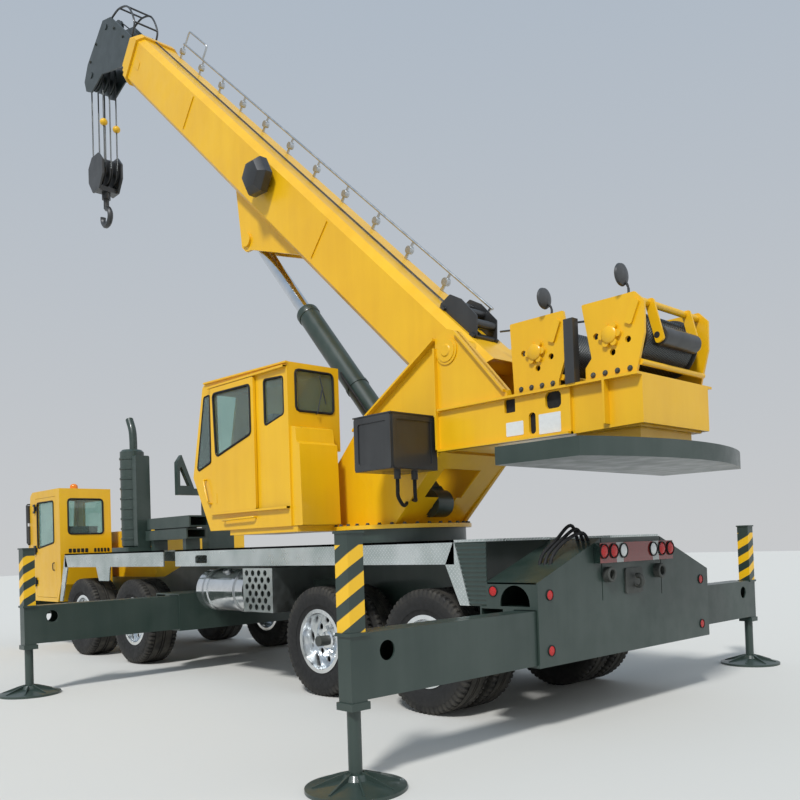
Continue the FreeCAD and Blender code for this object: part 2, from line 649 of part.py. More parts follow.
def make_operator_cab():
    shell = side_prism(OPERATOR_OUTLINE, OPERATOR_RIGHT, OPERATOR_LEFT)
    notch = box(0, 3000, OPERATOR_RIGHT - 1, OPERATOR_LOWER_RIGHT, OPERATOR_FLOOR - 1, OPERATOR_SHOULDER)
    room = inner_prism(OPERATOR_OUTLINE, CAB_WALL, OPERATOR_RIGHT + CAB_WALL, OPERATOR_LEFT - CAB_WALL)
    room = room.cut(box(0, 3000, OPERATOR_RIGHT - 1, OPERATOR_LOWER_RIGHT + CAB_WALL,
                        OPERATOR_FLOOR - 1, OPERATOR_SHOULDER + CAB_WALL))
    x0, x1, z0, z1 = OPERATOR_DOOR
    doorway = box(x0 + 40, x1 - 40, OPERATOR_LEFT - CAB_WALL - 1, OPERATOR_LEFT + 1, z0 + 40, z1 - 40)
    quarter = side_prism(OPERATOR_QUARTER, OPERATOR_LEFT - CAB_WALL - 1, OPERATOR_LEFT + 1)
    rear = box(313, 314 + CAB_WALL + 1, OPERATOR_RIGHT + 80, OPERATOR_LEFT - 100, 2830, 3250)
    front = box(1800, 2300, OPERATOR_LOWER_RIGHT + 60, OPERATOR_LEFT - 60, 2400, 3240)
    shell = shell.cut([notch, room, doorway, quarter, rear, front])
    rails = [box(330, 1800, OPERATOR_LEFT, OPERATOR_LEFT + 40, 1840, 1860),
             box(330, 1800, OPERATOR_LEFT, OPERATOR_LEFT + 40, 3265, 3280)]
    return fused([shell] + rails)


def make_operator_glass():
    quarter = side_prism(OPERATOR_QUARTER, OPERATOR_LEFT - 25, OPERATOR_LEFT - 25 + GLASS)
    rear = box(314 + 15, 314 + 15 + GLASS, OPERATOR_RIGHT + 80, OPERATOR_LEFT - 100, 2830, 3250)
    slope = (2215 - 1960) / (3300 - 2290)
    x_low = 2215 - (2400 - 2290) * slope - 25
    x_high = 2215 - (3240 - 2290) * slope - 25
    front = side_prism([(x_low, 2400), (x_low + GLASS, 2400), (x_high + GLASS, 3240), (x_high, 3240)],
                       OPERATOR_LOWER_RIGHT + 60, OPERATOR_LEFT - 60)
    return Part.makeCompound([quarter, rear, front])


def make_operator_door():
    x0, x1, z0, z1 = OPERATOR_DOOR
    y0 = OPERATOR_LEFT + SLIDE_GAP
    panel = box(x0, x1, y0, y0 + 30, 1860 + SEAT_GAP, 3265 - SLIDE_GAP)
    window = side_prism(OPERATOR_DOOR_WINDOW, y0 - 1, y0 + 31)
    pane = side_prism(OPERATOR_DOOR_WINDOW, y0 + 8, y0 + 8 + GLASS)
    return Part.makeCompound([panel.cut(window), pane])


def make_operator_interior():
    floor = OPERATOR_FLOOR + CAB_WALL
    base = box(850, 1250, 780, 1100, floor, floor + 350)
    seat = box(820, 1330, 760, 1120, floor + 350, floor + 470)
    back = side_prism([(820, floor + 470), (930, floor + 470), (800, floor + 1150), (700, floor + 1150)], 770, 1110)
    console = box(1650, 1760, 800, 1080, floor, 2350)
    return Part.makeCompound([fused([base, seat, back]), console])


# Boom, drawn level along X from its pivot and then raised

def boom_section(index):
    """The (y, z) outline of boom section number index, 0 for the base, each one inside the last."""
    d = BOOM_STEP * index
    w = BOOM_HALF_WIDTH - d
    return [(-w + 70, BOOM_BOTTOM + d), (w - 70, BOOM_BOTTOM + d), (w, BOOM_CHINE + d), (w, BOOM_SHOULDER - d),
            (w - 90, BOOM_TOP - d), (-w + 90, BOOM_TOP - d), (-w, BOOM_SHOULDER - d), (-w, BOOM_CHINE + d)]


def boom_tube(index, s0, s1, offset_out=0.0, wall=BOOM_WALL):
    wire = Part.makePolygon([V(s0, y, z) for y, z in boom_section(index) + boom_section(index)[:1]])
    outer = wire.makeOffset2D(offset_out, 2) if offset_out else wire
    inner = wire.makeOffset2D(-wall, 2)
    solid = Part.Face(outer).extrude(V(s1 - s0, 0, 0))
    core = Part.Face(inner).extrude(V(s1 - s0, 0, 0))
    return solid.cut(core)


def boom_ends(index):
    rear = BOOM_REAR if index == 0 else INNER_REAR + INNER_REAR_STEP * (index - 1)
    return rear, BOOM_FRONT + BOOM_FRONT_STEP * index


def wear_pads(index):
    """Pads on the rear end of an inner section, a hair's breadth from the wall of the section round it."""
    rear, _ = boom_ends(index)
    d = BOOM_STEP * index
    gap = BOOM_STEP - BOOM_WALL - SEAT_GAP
    w = BOOM_HALF_WIDTH - d - 120
    top = box(rear, rear + 160, -w, w, BOOM_TOP - d, BOOM_TOP - d + gap)
    low = box(rear, rear + 160, -w, w, BOOM_BOTTOM + d - gap, BOOM_BOTTOM + d)
    return [top, low]


def make_boom_section(index):
    rear, front = boom_ends(index)
    parts = [boom_tube(index, rear, front)]
    proud = COLLAR_PROUD
    parts.append(boom_tube(index, front - COLLAR_LENGTH, front, proud))
    if index:
        parts += wear_pads(index)
    return parts


def make_boom_1():
    parts = make_boom_section(0)
    rear, _ = boom_ends(0)
    boss = rod_y(0, 0, PIVOT_BOSS, -SIDE_Y + SIDE_PLATE + SEAT_GAP, SIDE_Y - SIDE_PLATE - SEAT_GAP)
    lugs = []
    for side in (1, -1):
        outline = [(LUG_PIN_S - 1200, BOOM_BOTTOM), (LUG_PIN_S + 700, BOOM_BOTTOM),
                   (LUG_PIN_S + 140, LUG_PIN_N - 60), (LUG_PIN_S + 60, LUG_PIN_N - 130),
                   (LUG_PIN_S - 60, LUG_PIN_N - 130), (LUG_PIN_S - 140, LUG_PIN_N - 60)]
        y0, y1 = sorted((side * LUG_Y, side * (LUG_Y + LUG_PLATE)))
        lugs.append(side_prism(outline, y0, y1))
        y0, y1 = sorted((side * (LUG_Y + LUG_PLATE), side * (LUG_Y + LUG_PLATE + 30)))
        lugs.append(rod_y(LUG_PIN_S, LUG_PIN_N, 85, y0, y1))
    shape = fused(parts + [boss] + lugs)
    bore = rod_y(0, 0, PIVOT_PIN + PIN_GAP, -SIDE_Y, SIDE_Y)
    return raised(shape.cut(bore))


def make_inner_boom(index):
    return raised(fused(make_boom_section(index)))


def sheave(s, n, y, radius=SHEAVE_RADIUS, groove=GROOVE_RADIUS):
    half = 22
    profile = [(y - half, 0), (y - half, radius), (y - half + 6, radius), (y - 11, groove), (y + 11, groove),
               (y + half - 6, radius), (y + half, radius), (y + half, 0)]
    points = [V(s, py, n + r) for py, r in profile]
    face = Part.Face(Part.makePolygon(points + [points[0]]))
    return face.revolve(V(s, 0, n), V(0, 1, 0), 360)


FALL_Y = (-FALL_PITCH, 0, FALL_PITCH)
HEAD_PLATE_Y = 185
HEAD_PLATE = 22


def make_boom_4():
    parts = make_boom_section(3)
    _, front = boom_ends(3)
    outline = [(front, 20), (10150, 20), (10420, -120), (10560, -880), (10500, -1150), (10330, -1240),
               (10120, -1180), (9900, -800), (front, -420)]
    for side in (1, -1):
        y0, y1 = sorted((side * HEAD_PLATE_Y, side * (HEAD_PLATE_Y + HEAD_PLATE)))
        parts.append(side_prism(outline, y0, y1))
    edge = HEAD_PLATE_Y + HEAD_PLATE
    parts.append(rod_y(HEAD_SHEAVE_S, HEAD_SHEAVE_N, 50, -edge - 15, edge + 15))
    parts.append(rod_y(TOP_SHEAVE_S, TOP_SHEAVE_N, 45, -edge - 15, edge + 15))
    parts.append(box(front - 10, front + 20, -edge, edge, -420, 20))
    parts += [sheave(HEAD_SHEAVE_S, HEAD_SHEAVE_N, y) for y in FALL_Y]
    parts.append(sheave(TOP_SHEAVE_S, TOP_SHEAVE_N, 0, 175, 150))
    return raised(fused(parts))


def make_hook_block():
    pieces = []
    reach = GROOVE_RADIUS + ROPE_RADIUS + SEAT_GAP
    for y in FALL_Y:
        for side in (1, -1):
            pieces.append(rod_z(HEAD_X + side * reach, y, ROPE_RADIUS, BLOCK_SHEAVE_Z, HEAD_Z))
        wheel = sheave(HEAD_X, BLOCK_SHEAVE_Z, y)
        pieces.append(wheel)
    outline = [(HEAD_X - 130, BLOCK_SHEAVE_Z + 270), (HEAD_X + 130, BLOCK_SHEAVE_Z + 270),
               (HEAD_X + 270, BLOCK_SHEAVE_Z + 120), (HEAD_X + 270, BLOCK_SHEAVE_Z - 120),
               (HEAD_X + 120, BLOCK_SHEAVE_Z - 330), (HEAD_X - 120, BLOCK_SHEAVE_Z - 330),
               (HEAD_X - 270, BLOCK_SHEAVE_Z - 120), (HEAD_X - 270, BLOCK_SHEAVE_Z + 120)]
    for y in (-FALL_PITCH * 1.5 - 15, FALL_PITCH * 1.5 - 15):
        pieces.append(side_prism(outline, y, y + 30))
    width = FALL_PITCH * 1.5 + 15
    pieces.append(rod_y(HEAD_X, BLOCK_SHEAVE_Z, 40, -width, width))
    pieces.append(box(HEAD_X - 90, HEAD_X + 90, -width, width, BLOCK_SHEAVE_Z - 330, BLOCK_SHEAVE_Z - 250))
    block = fused(pieces)
    bore = rod_z(HEAD_X, 0, HOOK_SHANK + PIN_GAP, BLOCK_SHEAVE_Z - 400, BLOCK_SHEAVE_Z - 249)
    return block.cut(bore)


def make_hook():
    top = BLOCK_SHEAVE_Z - 330
    shank = rod_z(HEAD_X, 0, HOOK_SHANK, top - 150, top + 85)
    collar = rod_z(HEAD_X, 0, 70, top - 110, top - SEAT_GAP)
    bowl_z = HOOK_LOW_Z + HOOK_BOWL + HOOK_THICK
    corners = []
    for i in range(8):
        angle = math.radians(45 * i + 22.5)
        corners.append(V(HEAD_X, HOOK_THICK * math.cos(angle), bowl_z + HOOK_BOWL + HOOK_THICK * math.sin(angle)))
    section = Part.Face(Part.makePolygon(corners + corners[:1]))
    bowl = section.revolve(V(HEAD_X, 0, bowl_z), V(0, -1, 0), HOOK_SWEEP)
    neck = rod_z(HEAD_X, 0, HOOK_THICK, bowl_z + HOOK_BOWL, top - 100)
    return fused([shank, collar, neck, bowl])


def make_lift_barrel():
    tube = rod_x(0, 0, BARREL_RADIUS, 120, BARREL_LENGTH)
    eye = rod_y(0, 0, CYL_EYE + 40, -110, 110)
    neck = box(0, 150, -90, 90, -110, 110)
    shape = fused([tube, eye, neck])
    shape = shape.cut([rod_x(0, 0, ROD_RADIUS + PIN_GAP, BARREL_BORE_START, BARREL_LENGTH + 1),
                       rod_y(0, 0, CYL_PIN + PIN_GAP, -200, 200)])
    shape.rotate(V(0, 0, 0), V(0, 1, 0), -CYL_ANGLE)
    shape.translate(V(CYL_BASE_X, 0, CYL_BASE_Z))
    return shape


def make_lift_rod():
    rod = rod_x(0, 0, ROD_RADIUS, ROD_START, CYL_LENGTH - 60)
    eye = rod_y(CYL_LENGTH, 0, CYL_EYE, -LUG_Y + SLIDE_GAP, LUG_Y - SLIDE_GAP)
    shape = fused([rod, eye])
    shape.rotate(V(0, 0, 0), V(0, 1, 0), -CYL_ANGLE)
    shape.translate(V(CYL_BASE_X, 0, CYL_BASE_Z))
    return shape


def make_lamps():
    lamps = []
    for side in (1, -1):
        for y in (820, 1060):
            lamps.append(rod_x(side * y, 700, 75, BUMPER_FRONT, BUMPER_FRONT + 25))
    rear = DECK_REAR
    lamps.append(box(rear - 60, rear, -560, 560, 1240, 1400))
    return Part.makeCompound(lamps)


def build():
    nodes = {
        "chassis": make_chassis(),
        "outrigger_boxes": make_outrigger_boxes(),
        "decks": make_decks(),
        "axles": make_axles(),
        "fuel_tank": make_fuel_tank(),
        "step_box": make_step_box(),
        "exhaust_stack": make_exhaust_stack(),
        "deck_stowage": make_deck_stowage(),
        "engine_hood": make_engine_hood(),
        "engine": make_engine(),
        "driver_cab": make_driver_cab(),
        "driver_cab_glass": make_driver_glass(),
        "driver_cab_interior": make_driver_interior(),
        "driver_door": make_driver_door(),
        "lamps": make_lamps(),
        "upper_frame": make_upper_frame(),
        "counterweight": make_counterweight(),
        "valve_box": make_valve_box(),
        "hoist_frames": make_hoist_frames(),
        "winch_drums": make_winch_drums(),
        "operator_cab": make_operator_cab(),
        "operator_cab_glass": make_operator_glass(),
        "operator_cab_interior": make_operator_interior(),
        "operator_door": make_operator_door(),
        "boom_1": make_boom_1(),
        "boom_2": make_inner_boom(1),
        "boom_3": make_inner_boom(2),
        "boom_4": make_boom_4(),
        "hook_block": make_hook_block(),
        "hook": make_hook(),
        "lift_barrel": make_lift_barrel(),
        "lift_rod": make_lift_rod(),
    }
    for end, side in BEAM_NAMES:
        name = BEAM_NAMES[(end, side)]
        nodes["beam_" + name] = make_beam(end, side)
        nodes["jack_" + name] = make_jack(end, side)
    for number, x in enumerate(FRONT_AXLES, 1):
        for letter, side in (("left", 1), ("right", -1)):
            nodes["knuckle_%d_%s" % (number, letter)] = make_knuckle(x, side)
            nodes["tyre_%d_%s" % (number, letter)] = make_front_tyre(x, side)
            nodes["rim_%d_%s" % (number, letter)] = make_front_rim(x, side)
    for number, x in enumerate(REAR_AXLES, 3):
        for letter, side in (("left", 1), ("right", -1)):
            nodes["tyre_%d_%s" % (number, letter)] = make_rear_tyres(x, side)
            nodes["rim_%d_%s" % (number, letter)] = make_rear_rims(x, side)
    return nodes


nodes = build()
whole = Part.makeCompound(list(nodes.values()))
bounds = whole.BoundBox
SHIFT_X = -(bounds.XMin + bounds.XMax) / 2
os.makedirs("parts", exist_ok=True)
for name, shape in nodes.items():
    shape.translate(V(SHIFT_X, 0, 0))
    shape.exportStep("parts/%s.step" % name)
print("nodes", len(nodes), "length", round(bounds.XLength), "width", round(bounds.YLength),
      "height", round(bounds.ZMax), "shift", round(SHIFT_X, 3))
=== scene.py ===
# %% [markdown]
# # A four-axle truck crane with its outriggers out
#
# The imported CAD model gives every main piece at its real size. This notebook puts a camera where the photographer
# stood, lights a pale studio, gives each surface a procedural finish, and adds the small things that a crane
# carries: rope, bolts, tread, seals, hoses, lenses and blank plates.

# %% Load the frame
import math

import bmesh
import bpy
import numpy as np
from mathutils import Matrix, Vector, geometry


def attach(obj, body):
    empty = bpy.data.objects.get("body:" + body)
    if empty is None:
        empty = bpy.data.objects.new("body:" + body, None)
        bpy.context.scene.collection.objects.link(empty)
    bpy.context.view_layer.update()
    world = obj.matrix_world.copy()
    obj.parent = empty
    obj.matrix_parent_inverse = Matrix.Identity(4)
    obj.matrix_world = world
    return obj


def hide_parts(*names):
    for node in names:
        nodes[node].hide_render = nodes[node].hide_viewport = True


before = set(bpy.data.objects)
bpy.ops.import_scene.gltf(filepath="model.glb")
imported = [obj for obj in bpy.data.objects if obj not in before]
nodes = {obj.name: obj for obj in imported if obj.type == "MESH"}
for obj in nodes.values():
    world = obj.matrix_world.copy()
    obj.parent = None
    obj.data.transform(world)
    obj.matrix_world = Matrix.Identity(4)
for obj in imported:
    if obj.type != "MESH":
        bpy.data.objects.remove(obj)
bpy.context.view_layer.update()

# %% [markdown]
# ## The camera
#
# The photo was taken from behind and to the left of the crane, at eye level, with a slightly long lens. Its place
# and turn were found by fitting the outriggers, wheels and deck edges, and are written here in metres and degrees.
# A small upward shift of the film keeps the columns nearly upright, as they are in the photo.

# %% Camera
CAMERA_PLACE = (-8.6105, 6.210, 1.436)
CAMERA_YAW = -43.412
CAMERA_PITCH = 1.222
CAMERA_ROLL = -1.85
FOCAL_PIXELS = 843.23
PICTURE_PIXELS = 800
CENTRE_PIXEL = (401.08, 526.7)
FILM_WIDTH = 36.0


def turned_axes(yaw, pitch, roll):
    """The camera's right, up and forward directions.

    Forward = (cos yaw cos pitch, sin yaw cos pitch, sin pitch); right is level and square to it; up = right x
    forward; then right and up turn about forward by the roll.
    """
    yaw, pitch, roll = (math.radians(a) for a in (yaw, pitch, roll))
    forward = np.array([math.cos(yaw) * math.cos(pitch), math.sin(yaw) * math.cos(pitch), math.sin(pitch)])
    right = np.array([math.sin(yaw), -math.cos(yaw), 0.0])
    up = np.cross(right, forward)
    return (math.cos(roll) * right + math.sin(roll) * up, -math.sin(roll) * right + math.cos(roll) * up, forward)


def make_camera():
    data = bpy.data.cameras.new("camera")
    camera = bpy.data.objects.new("camera", data)
    bpy.context.scene.collection.objects.link(camera)
    right, up, forward = turned_axes(CAMERA_YAW, CAMERA_PITCH, CAMERA_ROLL)
    matrix = np.eye(4)
    matrix[:3, 0], matrix[:3, 1], matrix[:3, 2], matrix[:3, 3] = right, up, -forward, CAMERA_PLACE
    camera.matrix_world = Matrix(matrix.tolist())
    data.sensor_width = FILM_WIDTH
    data.lens = FOCAL_PIXELS / PICTURE_PIXELS * FILM_WIDTH
    data.shift_x = (PICTURE_PIXELS / 2 - CENTRE_PIXEL[0]) / PICTURE_PIXELS
    data.shift_y = (CENTRE_PIXEL[1] - PICTURE_PIXELS / 2) / PICTURE_PIXELS
    data.clip_end = 200
    bpy.context.scene.camera = camera


make_camera()
bpy.context.scene.view_settings.view_transform = "Standard"
print("camera at", CAMERA_PLACE)

# %% [markdown]
# ## The studio
#
# One large plane is the floor and the world is a plain pale sky, a little bluer overhead, so that polished metal has
# something to show. A sun high behind the photographer's left shoulder lights the boom's long side and leaves the
# undersides dark, as in the photo. A weak wide one keeps those undersides readable.

# %% Floor, world and lamps
SUNS = (("key", 2.9, 8, (-0.45, 0.80, 0.95)), ("fill", 0.35, 60, (-0.9, -0.5, 0.6)))


def make_floor():
    size = 60.0
    mesh = bpy.data.meshes.new("floor")
    mesh.from_pydata([(-size, -size, 0), (size, -size, 0), (size, size, 0), (-size, size, 0)], [], [(0, 1, 2, 3)])
    floor = bpy.data.objects.new("floor", mesh)
    bpy.context.scene.collection.objects.link(floor)
    material = bpy.data.materials.new("floor_paper")
    material.use_nodes = True
    shader = material.node_tree.nodes["Principled BSDF"]
    shader.inputs["Base Color"].default_value = (0.62, 0.61, 0.57, 1)
    shader.inputs["Roughness"].default_value = 0.9
    mesh.materials.append(material)


def make_lights():
    """The world's colour runs from white at the horizon to a light blue overhead, by the height of the view ray."""
    world = bpy.data.worlds.new("studio")
    world.use_nodes = True
    tree = world.node_tree
    place = tree.nodes.new("ShaderNodeTexCoord")
    parts = tree.nodes.new("ShaderNodeSeparateXYZ")
    ramp = tree.nodes.new("ShaderNodeValToRGB")
    tree.links.new(place.outputs["Generated"], parts.inputs[0])
    tree.links.new(parts.outputs["Z"], ramp.inputs[0])
    ramp.color_ramp.elements[0].color = (0.92, 0.94, 0.96, 1)
    ramp.color_ramp.elements[1].color = (0.50, 0.66, 0.86, 1)
    tree.links.new(ramp.outputs[0], tree.nodes["Background"].inputs["Color"])
    tree.nodes["Background"].inputs["Strength"].default_value = 0.62
    bpy.context.scene.world = world
    for name, strength, angle, towards in SUNS:
        data = bpy.data.lights.new(name, "SUN")
        data.energy = strength
        data.angle = math.radians(angle)
        lamp = bpy.data.objects.new(name, data)
        lamp.rotation_euler = Vector(towards).to_track_quat("Z", "Y").to_euler()
        bpy.context.scene.collection.objects.link(lamp)
    print("suns", [s[0] for s in SUNS])


make_floor()
make_lights()

# %% [markdown]
# ## Where things are
#
# The crane's stations along X are measured from the axis that its upper part turns on, which lies a little behind
# the middle of the model. The boom leans at its rest angle. A place on it is easiest to give as the distance out from
# its foot pin and the height square to that, so one helper turns such a pair into X and Z. Lengths are in metres.

# %% Stations and the boom's own directions
SLEW_X = -2.0375
PIVOT = (SLEW_X - 1.278, 3.210)
TILT = math.radians(42.5)
CARRIER_HALF = 1.290
DECK_TOP = 1.460
REAR_FACE = SLEW_X - 2.791
DRUM_X = (SLEW_X - 2.990, SLEW_X - 2.270)
DRUM_Z = 3.010
FRONT_AXLES = (SLEW_X + 5.460, SLEW_X + 3.880)
REAR_AXLES = (SLEW_X - 0.060, SLEW_X - 1.510)
COLUMNS = {"rear_left": (SLEW_X - 2.710, 1), "rear_right": (SLEW_X - 2.393, -1),
           "front_left": (SLEW_X + 2.555, 1), "front_right": (SLEW_X + 2.872, -1)}
HEAD_PIN = (10.300, -0.960)
TOP_SHEAVE = (10.230, -0.160)
HOOK_X = PIVOT[0] + HEAD_PIN[0] * math.cos(TILT) - HEAD_PIN[1] * math.sin(TILT)


def on_boom(out, y, up):
    """World points from distances out along the boom, across it and square above it."""
    out, y, up = np.broadcast_arrays(*(np.asarray(v, float) for v in (out, y, up)))
    return np.stack([PIVOT[0] + out * math.cos(TILT) - up * math.sin(TILT), y,
                     PIVOT[1] + out * math.sin(TILT) + up * math.cos(TILT)], axis=-1)


print("hook line at x", round(HOOK_X, 3), "boom head", on_boom(*HEAD_PIN[:1], 0, HEAD_PIN[1]).round(3))

# %% [markdown]
# ## Shader helpers
#
# Every finish is a Principled shader whose colour, roughness and bump come from noise and patterns on Object
# coordinates, so it holds its place on the piece and needs no picture. Building such a tree by hand takes many
# lines, so a few helpers add one node each and return its output socket. Values that are the same all over the
# surface stay on the shader's own sockets.

# %% Helpers for node trees
def new_finish(name, **values):
    """A material whose Principled shader starts with the given socket values."""
    material = bpy.data.materials.new(name)
    material.use_nodes = True
    for key, value in values.items():
        shader_of(material).inputs[key.replace("_", " ")].default_value = value
    return material


def shader_of(material):
    return material.node_tree.nodes["Principled BSDF"]


def node(material, kind, *values, out=0, **settings):
    """Adds one node, sets it up, joins or sets its inputs in order, and returns one of its outputs."""
    added = material.node_tree.nodes.new("ShaderNode" + kind)
    for key, value in settings.items():
        setattr(added, key, value)
    for socket, value in zip([s for s in added.inputs if s.enabled], values):
        if isinstance(value, bpy.types.NodeSocket):
            material.node_tree.links.new(value, socket)
        elif value is not None:
            socket.default_value = value
    return [s for s in added.outputs if s.enabled][out]


def maths(material, operation, *values):
    return node(material, "Math", *values, operation=operation)


def above(material, value, edge, soft=0.002):
    """0 below the edge and 1 above it, with a narrow smooth step between."""
    return node(material, "MapRange", value, edge - soft, edge + soft, 0.0, 1.0)


def place(material):
    return node(material, "TexCoord", out=3)


def axes(material, vector=None):
    """The three numbers of a vector, Object coordinates if none is given."""
    vector = vector or place(material)
    return [node(material, "SeparateXYZ", vector, out=i) for i in range(3)]


def noise(material, scale, detail=4.0, roughness=0.55, stretch=(1, 1, 1)):
    vector = node(material, "Mapping", place(material), None, None, stretch)
    return node(material, "TexNoise", vector, scale, detail, roughness)


def between(material, factor, low, high):
    """A number that runs from low to high as the factor runs from 0.35 to 0.65, the middle of a noise's values."""
    return node(material, "MapRange", factor, 0.35, 0.65, low, high)


def blend(material, factor, first, second):
    """A colour mixed from two; each may be a colour or a socket."""
    first, second = ((*c, 1) if isinstance(c, tuple) and len(c) == 3 else c for c in (first, second))
    return node(material, "Mix", factor, first, second, data_type="RGBA")


def set_colour(material, colour):
    material.node_tree.links.new(colour, shader_of(material).inputs["Base Color"])


def set_number(material, socket, value):
    material.node_tree.links.new(value, shader_of(material).inputs[socket])


def set_bump(material, height, distance, strength=1.0):
    """Bump from a height that runs from 0 to 1, the distance being its real depth in metres."""
    added = material.node_tree.nodes.new("ShaderNodeBump")
    added.inputs["Strength"].default_value = strength
    added.inputs["Distance"].default_value = distance
    material.node_tree.links.new(height, added.inputs["Height"])
    material.node_tree.links.new(added.outputs[0], shader_of(material).inputs["Normal"])


def boom_axes(material):
    """Out, across and up from the boom's foot pin, by turning Object coordinates back by the boom's lean."""
    turned = node(material, "VectorRotate", place(material), (PIVOT[0], 0, PIVOT[1]), TILT,
                  rotation_type="Y_AXIS")
    out, across, up = axes(material, turned)
    return (maths(material, "SUBTRACT", out, PIVOT[0]), across, maths(material, "SUBTRACT", up, PIVOT[1]))


print("helpers ready")

# %% [markdown]
# ## Enamel
#
# The boom, cabs and upper frame wear a thick yellow enamel; the carrier, beams and slab wear a dark grey-green one.
# New enamel has a clear gloss, an orange-peel skin and hardly any scratches, but a machine that stands outdoors
# gathers pale dust in broad patches and faint streaks where rain ran down. Two noises do that: a soft one for the
# patches and one stretched along Z for the streaks. A fine third one is the orange peel.

# %% Enamel finishes
YELLOW = (0.80, 0.46, 0.005)
YELLOW_DEEP = (0.72, 0.39, 0.004)
GREEN_GREY = (0.013, 0.029, 0.023)
GREEN_GREY_DUSTY = (0.032, 0.050, 0.042)
BLACK = (0.012, 0.013, 0.014)


def enamel_colour(material, clean, dusty):
    """The clean colour, drifting towards the dusty one in patches and rain streaks."""
    patches = between(material, noise(material, 0.9), 0.0, 0.75)
    streaks = between(material, noise(material, 7.0, 3.0, 0.6, (1, 1, 0.08)), 0.0, 0.35)
    return blend(material, maths(material, "ADD", patches, streaks), clean, dusty)


def enamel(name, clean, dusty, gloss=0.30, colour=None):
    material = new_finish(name, Coat_Weight=0.25, Coat_Roughness=0.12)
    set_colour(material, colour(material) if colour else enamel_colour(material, clean, dusty))
    set_number(material, "Roughness", between(material, noise(material, 5.0), gloss, gloss + 0.14))
    set_bump(material, noise(material, 180.0, 2.0), 0.0002, 0.35)
    return material


yellow = enamel("yellow_enamel", YELLOW, YELLOW_DEEP)
green_grey = enamel("green_grey_enamel", GREEN_GREY, GREEN_GREY_DUSTY, 0.36)
black_enamel = enamel("black_enamel", BLACK, (0.035, 0.037, 0.038), 0.34)
print("enamels", yellow.name, green_grey.name, black_enamel.name)

# %% [markdown]
# ## Finishes that change colour by place
#
# Some CAD nodes hold parts of two colours: the boom's head is yellow at its root and nearly black round the sheaves,
# that dark being partly the head's own paint and partly painted shade over its upper part; the base section carries
# a dark rail and floodlight, and the jack columns are striped. Cutting the mesh up would change the model, so the
# colour is chosen by Object coordinate instead. A step function of one coordinate gives a mask, products of masks give
# a region, and a fraction of a slanted sum gives the diagonal stripes.

# %% Boom, column and cab finishes
STRIPE_PERIOD = 0.172


def boom_colour(material):
    """Dark where the base section's rail, posts, hoop and floodlight are."""
    out, across, up = boom_axes(material)
    rail = above(material, up, 0.1425)
    lamp = maths(material, "MULTIPLY", above(material, across, 0.345), above(material, out, 3.6))
    lamp = maths(material, "MULTIPLY", lamp, maths(material, "SUBTRACT", 1.0, above(material, out, 4.6)))
    lamp = maths(material, "MULTIPLY", lamp, above(material, up, -0.42))
    collar = above(material, out, 8.60)
    rail = maths(material, "MULTIPLY", rail, maths(material, "SUBTRACT", 1.0, collar))
    dark = maths(material, "MAXIMUM", rail, lamp)
    return blend(material, dark, enamel_colour(material, YELLOW, YELLOW_DEEP), BLACK)


def head_paint_and_shade(material):
    """Yellow for the tube and the nose below it, near black for the cheeks' outer half, frames and sheaves, partly
    their own dark paint and partly painted shade.
    """
    out, across, up = boom_axes(material)
    dark = above(material, out, 9.36)
    # painted shade: from 9.0 m out, above -0.56 m, the head's upper part is darkened where it lies in shade
    high = maths(material, "MULTIPLY", above(material, out, 9.00), above(material, up, -0.56))
    dark = maths(material, "MAXIMUM", dark, high)
    return blend(material, dark, enamel_colour(material, YELLOW, YELLOW_DEEP), (0.020, 0.030, 0.030))


def column_colour(material):
    """Yellow bands on the column where the fraction of (Z + 0.55 (X + Y)) / period is under one half."""
    x, y, z = axes(material)
    slant = maths(material, "MULTIPLY_ADD", maths(material, "ADD", x, y), 0.55, z)
    bands = maths(material, "FRACT", maths(material, "DIVIDE", slant, STRIPE_PERIOD))
    bands = maths(material, "SUBTRACT", 1.0, above(material, bands, 0.5, 0.02))
    region = maths(material, "MULTIPLY", above(material, z, 0.925), maths(material, "SUBTRACT", 1.0, above(
        material, z, 1.445)))
    return blend(material, maths(material, "MULTIPLY", bands, region),
                 enamel_colour(material, GREEN_GREY, GREEN_GREY_DUSTY), YELLOW)


def driver_cab_colour(material):
    """Dark where the mirrors and hinges stand proud of the cab's side."""
    x, y, z = axes(material)
    return blend(material, above(material, y, 1.2515), enamel_colour(material, YELLOW, YELLOW_DEEP), BLACK)


boom_base_finish = enamel("boom_base_enamel", YELLOW, YELLOW_DEEP, colour=boom_colour)
boom_head_finish = enamel("boom_head_enamel_and_shade", YELLOW, YELLOW_DEEP, colour=head_paint_and_shade)
beam_finish = enamel("striped_beam_enamel", GREEN_GREY, GREEN_GREY_DUSTY, 0.36, colour=column_colour)
driver_cab_finish = enamel("driver_cab_enamel", YELLOW, YELLOW_DEEP, colour=driver_cab_colour)
print("stripe period", STRIPE_PERIOD)

# %% [markdown]
# ## Tread plate, polished metal and steel
#
# The decks, their side strips and the step box are bright aluminium tread plate. Its raised lugs lie in a
# checkerboard of two directions: the plane is cut into square cells turned by 45 degrees, each cell's parity says
# which way its lug runs, and the lug is a stretched dome in that cell. The wheels and the tank are polished
# aluminium with faint swirls, and the lift rod is hard chrome.

# %% Metal finishes
LUG_PITCH = 0.040


